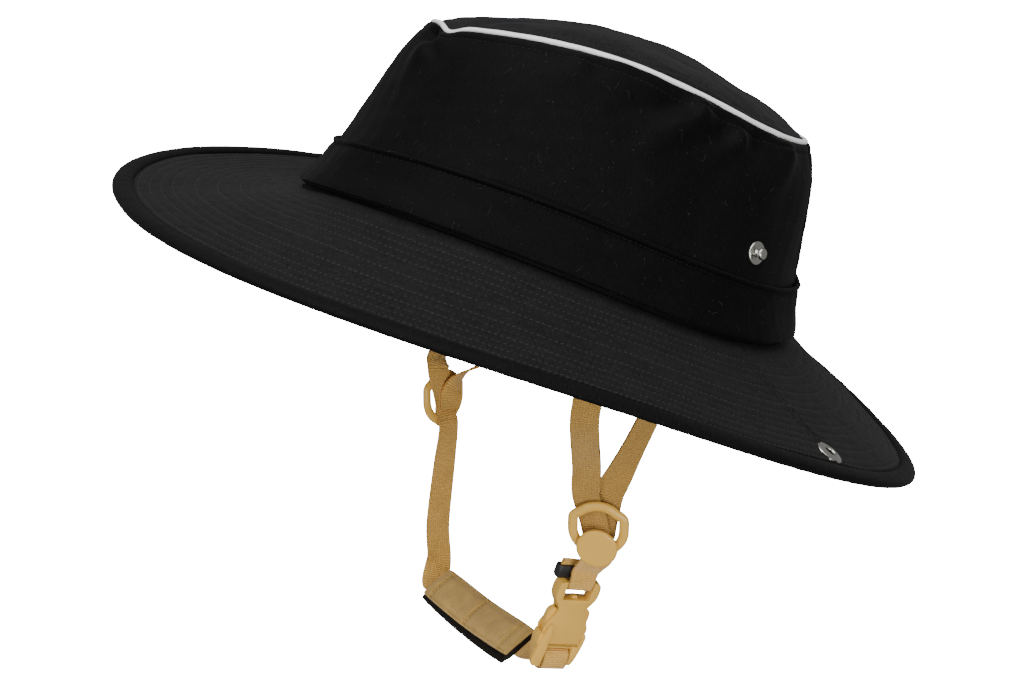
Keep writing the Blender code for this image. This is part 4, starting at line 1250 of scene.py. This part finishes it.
def solid_from(name, outline, low, high, place=BUCKLE):
    """An outline made thick, as an object that other shapes can be cut from."""
    builder = bmesh.new()
    lower = [builder.verts.new(place @ Vector((across, up, low))) for across, up in outline]
    upper = [builder.verts.new(place @ Vector((across, up, high))) for across, up in outline]
    builder.faces.new(lower[::-1])
    builder.faces.new(upper)
    for index in range(len(outline)):
        after = (index + 1) % len(outline)
        builder.faces.new((lower[index], lower[after], upper[after], upper[index]))
    bmesh.ops.recalc_face_normals(builder, faces=builder.faces[:])
    mesh = bpy.data.meshes.new(name)
    builder.to_mesh(mesh)
    builder.free()
    made = bpy.data.objects.new(name, mesh)
    bpy.context.scene.collection.objects.link(made)
    return made


def bar_solid(name, place):
    outline = [(BAR_RADIUS * math.cos(turn), BAR_RADIUS * math.sin(turn))
               for turn in np.linspace(0, 2 * np.pi, 24, endpoint=False)]
    turned = place @ Matrix.Rotation(math.radians(90), 4, "Y")
    reach = WINDOW_HALF + 0.0005
    return solid_from(name, outline, -reach, reach, turned)


def combined(body, cuts, joins, rounding):
    """One mesh: a body with shapes cut out and others joined on, and its edges rounded."""
    for other, operation in [(one, "DIFFERENCE") for one in cuts] + [(one, "UNION") for one in joins]:
        modifier = body.modifiers.new(other.name, "BOOLEAN")
        modifier.operation = operation
        modifier.object = other
        modifier.solver = "EXACT"
    modifier = body.modifiers.new("rounding", "BEVEL")
    modifier.width = rounding
    modifier.segments = 3
    modifier.limit_method = "ANGLE"
    modifier.angle_limit = math.radians(38)
    graph = bpy.context.evaluated_depsgraph_get()
    mesh = bpy.data.meshes.new_from_object(body.evaluated_get(graph))
    for used in [body] + cuts + joins:
        bpy.data.objects.remove(used, do_unlink=True)
    mesh.shade_smooth()
    return mesh


def buckle_outline(points, steps, side=1):
    """A rounded outline on the buckle, on one side of it or mirrored to the other."""
    return smooth_outline([(side * BUCKLE_HALF * across, 0.001 * up) for across, up in points], steps)


def box_outline(half_width, low, high):
    return [(-half_width, low), (half_width, low), (half_width, high), (-half_width, high)]


class HAT_OT_buckle(bpy.types.Operator):
    """Build the side-release buckle and the keeper over the strap's tail"""
    bl_idname = "hat.buckle"
    bl_label = "Buckle and keeper"

    def execute(self, context):
        harness = context.scene.hat_harness
        self.socket(harness)
        self.plug(harness)
        self.keeper(harness)
        return {"FINISHED"}

    def socket(self, harness):
        right = buckle_outline(SOCKET_EDGE, 4)
        outline = right + [(-across, up) for across, up in reversed(right)]
        body = solid_from("socket_body", outline, -BUCKLE_DEPTH, BUCKLE_DEPTH)
        low = BUCKLE_LENGTH - TOP_BAR_INSET - BAR_RADIUS - WINDOW_HEIGHT
        reach = 2 * BUCKLE_THICKNESS
        window = solid_from("window", box_outline(WINDOW_HALF, low, BUCKLE_LENGTH + reach), -reach, reach)
        cavity = solid_from("cavity", box_outline(BUCKLE_HALF + BUCKLE_WALL, 0.0145, 0.0305),
                            BUCKLE_WALL - BUCKLE_DEPTH, BUCKLE_DEPTH - BUCKLE_WALL)
        bar = bar_solid("bar", BUCKLE_TOP_BAR)
        tooth = solid_from("tooth", [(-0.0020, low - 0.0006), (0.0020, low - 0.0006), (0.0012, low + 0.0016),
                                     (-0.0012, low + 0.0016)], -0.4 * BUCKLE_DEPTH, 0.4 * BUCKLE_DEPTH)
        mesh = combined(body, [window, cavity], [bar, tooth], harness.rounding)
        add_piece("buckle_body", mesh, plastic("buckle_body_plastic", shade(harness.plastic, 0.98)[:3]),
                  "tan_plastic", ["buckle_socket"], sharp=42)

    def plug(self, harness):
        seat = BUCKLE_FOOT - GAP
        arm_depth = BUCKLE_DEPTH - BUCKLE_WALL - GAP
        body = solid_from("plug_body", box_outline(0.9 * BUCKLE_HALF, PLUG_LOW, seat),
                          -BUCKLE_DEPTH, BUCKLE_DEPTH)
        tongue = box_outline(0.2 * BUCKLE_HALF, seat - 0.0005, 0.0200)
        joins = [bar_solid("loop_bar", BUCKLE), solid_from("tongue", tongue, -arm_depth, arm_depth)]
        for side, label in ((1, "left"), (-1, "right")):
            cheek = buckle_outline(CHEEK, 4, side) + [(side * WINDOW_HALF, PLUG_LOW + 0.0005)]
            joins.append(solid_from("cheek_" + label, cheek, -0.9 * BUCKLE_DEPTH, 1.12 * BUCKLE_DEPTH))
            arm = [(side * share * BUCKLE_HALF, seat - 0.0005) for share in (0.46, 0.78)]
            arm += buckle_outline(ARM, 3, side)
            joins.append(solid_from("arm_" + label, arm, -arm_depth, arm_depth))
        joins.append(solid_from("blade", buckle_outline(BLADE, 4), BUCKLE_DEPTH + 1.2 * GAP,
                                BUCKLE_DEPTH + 0.0019))
        root = [(BUCKLE_HALF * across, 0.001 * up) for across, up in BLADE_ROOT]
        joins.append(solid_from("blade_root", root, 0.5 * BUCKLE_DEPTH, BUCKLE_DEPTH + 0.0015))
        mesh = combined(body, [], joins, 0.7 * harness.rounding)
        add_piece("buckle_tongue", mesh, plastic("buckle_plug_plastic", shade(harness.plastic, 1.05)[:3]),
                  "tan_plastic", ["buckle_plug"], sharp=42)

    def keeper(self, harness):
        """A slide with rounded corners round the tail behind the buckle's top."""
        half = 0.5 * WEB_WIDTH + GAP
        clear = 0.5 * WEB_THICKNESS + GAP
        thick, height, low = 0.0018, 0.0070, 0.0028
        behind = -WRAP_RADIUS - TAIL_CLEAR
        outline = []
        for across, depth in ((half, clear), (-half, clear), (-half, -clear), (half, -clear)):
            start = math.atan2(math.copysign(1, depth), math.copysign(1, across)) - 0.25 * math.pi
            for turn in np.linspace(start, start + 0.5 * np.pi, 6):
                outline.append((across, depth, math.cos(turn), math.sin(turn)))
        section = [(0.0, 0.0), (0.8, 0.0), (1.0, 0.1), (1.0, 0.9), (0.8, 1.0), (0.0, 1.0)]
        points = []
        for across, depth, out_x, out_z in outline:
            points.append([BUCKLE_TOP_BAR @ Vector((TAIL_SHIFT + across + out_x * thick * out,
                                                    low + height * up,
                                                    depth + behind + out_z * thick * out))
                           for out, up in section])
        add_skin("keeper", np.array(points), plastic("keeper_plastic", harness.keeper, 0.5),
                 "black_plastic", ["strap_keeper"], sharp=50)


class HAT_OT_chin_pad(bpy.types.Operator):
    """Build the padded chin rest, its soft lining and its stitching"""
    bl_idname = "hat.chin_pad"
    bl_label = "Chin pad"

    def execute(self, context):
        harness = context.scene.hat_harness
        cover = grid_mesh("pad_cover", self.skin(self.cover_place), wrap=(False, True), caps=True)
        piece = add_piece("pad_cover", cover, canvas("pad_canvas", harness.canvas), "tan_webbing",
                          ["chin_pad_cover"], sharp=70)
        lining = grid_mesh("pad_lining", self.skin(self.lining_place), wrap=(False, True), caps=True)
        piece = add_piece("pad_lining", lining, plain("pad_felt", harness.lining, 0.95), "black_padding",
                          ["chin_pad_lining"], sharp=70)
        self.stitches(harness)
        return {"FINISHED"}

    def skin(self, placed):
        share = np.concatenate([np.linspace(0, 0.04, 6), np.linspace(0.05, 0.95, 120),
                                np.linspace(0.96, 1.0, 6)])
        turn = np.linspace(0, 2 * np.pi, 56, endpoint=False)
        return placed(*np.meshgrid(share, turn, indexing="ij"))

    def path(self, share):
        """The pad's middle line, from its right end at 0 to its left end at 1."""
        stations = np.array(smooth_path(PAD_STATIONS, 24))
        where = np.linspace(0, 1, len(stations))
        return np.stack([np.interp(share, where, stations[:, axis]) for axis in range(3)], axis=-1)

    def oval(self, turn, power):
        reach = (np.abs(np.cos(turn)) ** power + np.abs(np.sin(turn)) ** power) ** (-1 / power)
        return reach * np.cos(turn), reach * np.sin(turn)

    def fullness(self, share, across):
        """1 where the padding is full, less along the stitched lines and the sewn edges."""
        full = 1 - 0.80 * np.abs(2 * share - 1) ** 14
        for line in PAD_LINES:
            full = full * (1 - 0.42 * bump((share - line) * 0.111, 0.0022))
        full = full * (1 - 0.30 * bump((across + 0.80) * 0.012, 0.0016))
        return full * (1 - 0.30 * bump((across - 0.80) * 0.012, 0.0016))

    def cover_place(self, share, turn):
        _, across, normal = (np.array(way) for way in pad_ways())
        side, face = self.oval(turn, 3.0)
        centre = self.path(share)
        full = self.fullness(share, side)
        half_width = 0.5 * PAD_WIDTH * (1 - 0.05 * np.abs(2 * share - 1) ** 10)
        thick = 0.5 * PAD_THICKNESS * full
        places = centre + across * (half_width * side)[..., None]
        thick = np.maximum(thick, 0.5 * WEB_THICKNESS + GAP)
        ripple = 1 + 0.07 * uneven(places, 0.012, 61) + 0.05 * uneven(places, 0.005, 62)
        return places + normal * (thick * ripple * face)[..., None]

    def lining_place(self, share, turn):
        _, across, normal = (np.array(way) for way in pad_ways())
        side, face = self.oval(turn, 2.6)
        drop = 0.5 * PAD_THICKNESS * self.fullness(share, side) + 0.4 * PAD_LINING
        half_width = (0.5 * PAD_WIDTH + 0.0012) * (1 - 0.04 * np.abs(2 * share - 1) ** 10)
        centre = self.path(share) - across * (PAD_LINING_OFFSET * (0.35 + 0.65 * share))[..., None]
        reach = ease((share - 0.96) / 0.04)[..., None]
        centre = centre + reach * (np.array(pad_ways()[0]) * 0.0055 + normal * 0.0040)
        places = centre + across * (half_width * side)[..., None]
        thick = 0.55 * PAD_LINING * (1 + 0.15 * uneven(places, 0.014, 63))
        return places + normal * (thick * face - drop)[..., None]

    def stitches(self, harness):
        normal = np.array(pad_ways()[2])
        rows = []
        for line in PAD_LINES:
            for offset in (-0.010, 0.010):
                turn = np.linspace(0.22, np.pi - 0.22, 40)
                places = self.cover_place(np.full(turn.shape, line + offset), turn)
                rows.append(stitch_marks(places, np.tile(normal, (40, 1)), 0.0026, closed=False))
        for side in (0.60, np.pi - 0.60):
            share = np.linspace(0.03, 0.97, 80)
            places = self.cover_place(share, np.full(share.shape, side))
            rows.append(stitch_marks(places, np.tile(normal, (80, 1)), 0.0026, closed=False))
        mesh = stitch_mesh("pad_stitches", rows, 0.0020, 0.00022)
        add_piece("pad_stitches", mesh, thread("pad_thread", shade(harness.canvas, 0.55)[:3]), "tan_webbing")


class HAT_OT_stage(bpy.types.Operator):
    """Set up the floor, the lights and the camera"""
    bl_idname = "hat.stage"
    bl_label = "Studio"

    def execute(self, context):
        stage = context.scene.hat_stage
        self.floor(stage)
        self.lights(stage)
        self.camera(context)
        return {"FINISHED"}

    def floor(self, stage):
        size, low = 40.0, -stage.floor_depth
        corners = np.array([(-size, -size, low), (size, -size, low), (size, size, low), (-size, size, low)])
        mesh = finish_mesh("floor", corners, [(0, 1, 2, 3)])
        floor = bpy.data.objects.new("floor", mesh)
        bpy.context.scene.collection.objects.link(floor)
        glow = Graph("floor_paint")
        mesh.materials.append(glow.set(Base_Color=shade(stage.floor, 1.0), Roughness=0.9,
                                       Emission_Color=shade(stage.floor, 1.0), Emission_Strength=stage.glow))
        floor.visible_diffuse = False
        floor.visible_glossy = False

    def lights(self, stage):
        world = bpy.data.worlds.new("studio")
        world.use_nodes = True
        background = world.node_tree.nodes["Background"]
        background.inputs["Color"].default_value = (1.0, 1.0, 1.0, 1.0)
        background.inputs["Strength"].default_value = stage.surround
        bpy.context.scene.world = world
        sun = bpy.data.lights.new("top_light", "SUN")
        sun.energy = stage.top_light
        sun.angle = math.radians(70)
        self.put(sun, (0.6, -1.6, 3.0), (0.0, 0.0, 0.0))
        self.area("key_light", stage.key_light, (1.6, 1.2), (1.3, -1.9, 0.45), (0.0, 0.0, -0.05))
        self.area("fill_light", stage.fill_light, (1.2, 1.0), (2.0, 0.1, -0.15), (0.0, 0.0, -0.12))

    def area(self, name, energy, size, place, target):
        light = bpy.data.lights.new(name, "AREA")
        light.energy = energy
        light.shape = "RECTANGLE"
        light.size, light.size_y = size
        self.put(light, place, target)

    def put(self, light, place, target):
        holder = bpy.data.objects.new(light.name, light)
        bpy.context.scene.collection.objects.link(holder)
        holder.location = place
        way = Vector(target) - Vector(place)
        holder.rotation_euler = way.to_track_quat("-Z", "Y").to_euler()

    def camera(self, context):
        """A long lens, level with the brim's side and rolled by the hat's lean."""
        azimuth, elevation, roll = math.radians(68.0), math.radians(12.81), math.radians(19.2)
        distance, focal = 1.5, 2855.32
        back = Vector((math.sin(azimuth) * math.cos(elevation), -math.cos(azimuth) * math.cos(elevation),
                       math.sin(elevation)))
        level = Vector((math.cos(azimuth), math.sin(azimuth), 0.0))
        rise = back.cross(level)
        right = math.cos(roll) * level + math.sin(roll) * rise
        upward = -math.sin(roll) * level + math.cos(roll) * rise
        target = Vector((0.0, 0.0, 0.030)) + right * -0.02814 + upward * -0.07555
        data = bpy.data.cameras.new("camera")
        data.sensor_width = 36.0
        data.lens = focal * data.sensor_width / 1024
        data.clip_end = 100.0
        camera = bpy.data.objects.new("camera", data)
        bpy.context.scene.collection.objects.link(camera)
        turn = Matrix((right, upward, back)).transposed().to_4x4()
        camera.matrix_world = Matrix.Translation(target + back * distance) @ turn
        context.scene.camera = camera


OPERATORS = (HAT_OT_crown, HAT_OT_band, HAT_OT_brim, HAT_OT_stitching, HAT_OT_lint, HAT_OT_snap,
             HAT_OT_straps, HAT_OT_dividers, HAT_OT_buckle, HAT_OT_chin_pad, HAT_OT_stage)


class HAT_PT_panel(bpy.types.Panel):
    """Sun hat settings and pieces"""
    bl_label = "Sun Hat"
    bl_idname = "HAT_PT_panel"
    bl_space_type = "VIEW_3D"
    bl_region_type = "UI"
    bl_category = "Sun Hat"

    def draw(self, context):
        for name in GROUPS:
            group = getattr(context.scene, name)
            box = self.layout.box()
            for key in group.bl_rna.properties.keys():
                if key not in ("rna_type", "name"):
                    box.prop(group, key)
        for operator in OPERATORS:
            self.layout.operator(operator.bl_idname)


GROUPS = {"hat_cloth": HatClothSettings, "hat_harness": HatHarnessSettings, "hat_stage": HatStageSettings}


def register():
    for group in GROUPS.values():
        bpy.utils.register_class(group)
    for name, group in GROUPS.items():
        setattr(bpy.types.Scene, name, bpy.props.PointerProperty(type=group))
    for made in OPERATORS + (HAT_PT_panel,):
        bpy.utils.register_class(made)


def unregister():
    for made in reversed(OPERATORS + (HAT_PT_panel,)):
        bpy.utils.unregister_class(made)
    for name in GROUPS:
        delattr(bpy.types.Scene, name)
    for group in GROUPS.values():
        bpy.utils.unregister_class(group)


def main():
    register()
    for operator in OPERATORS:
        getattr(bpy.ops.hat, operator.bl_idname.split(".")[1])()


if __name__ == "__main__":
    main()
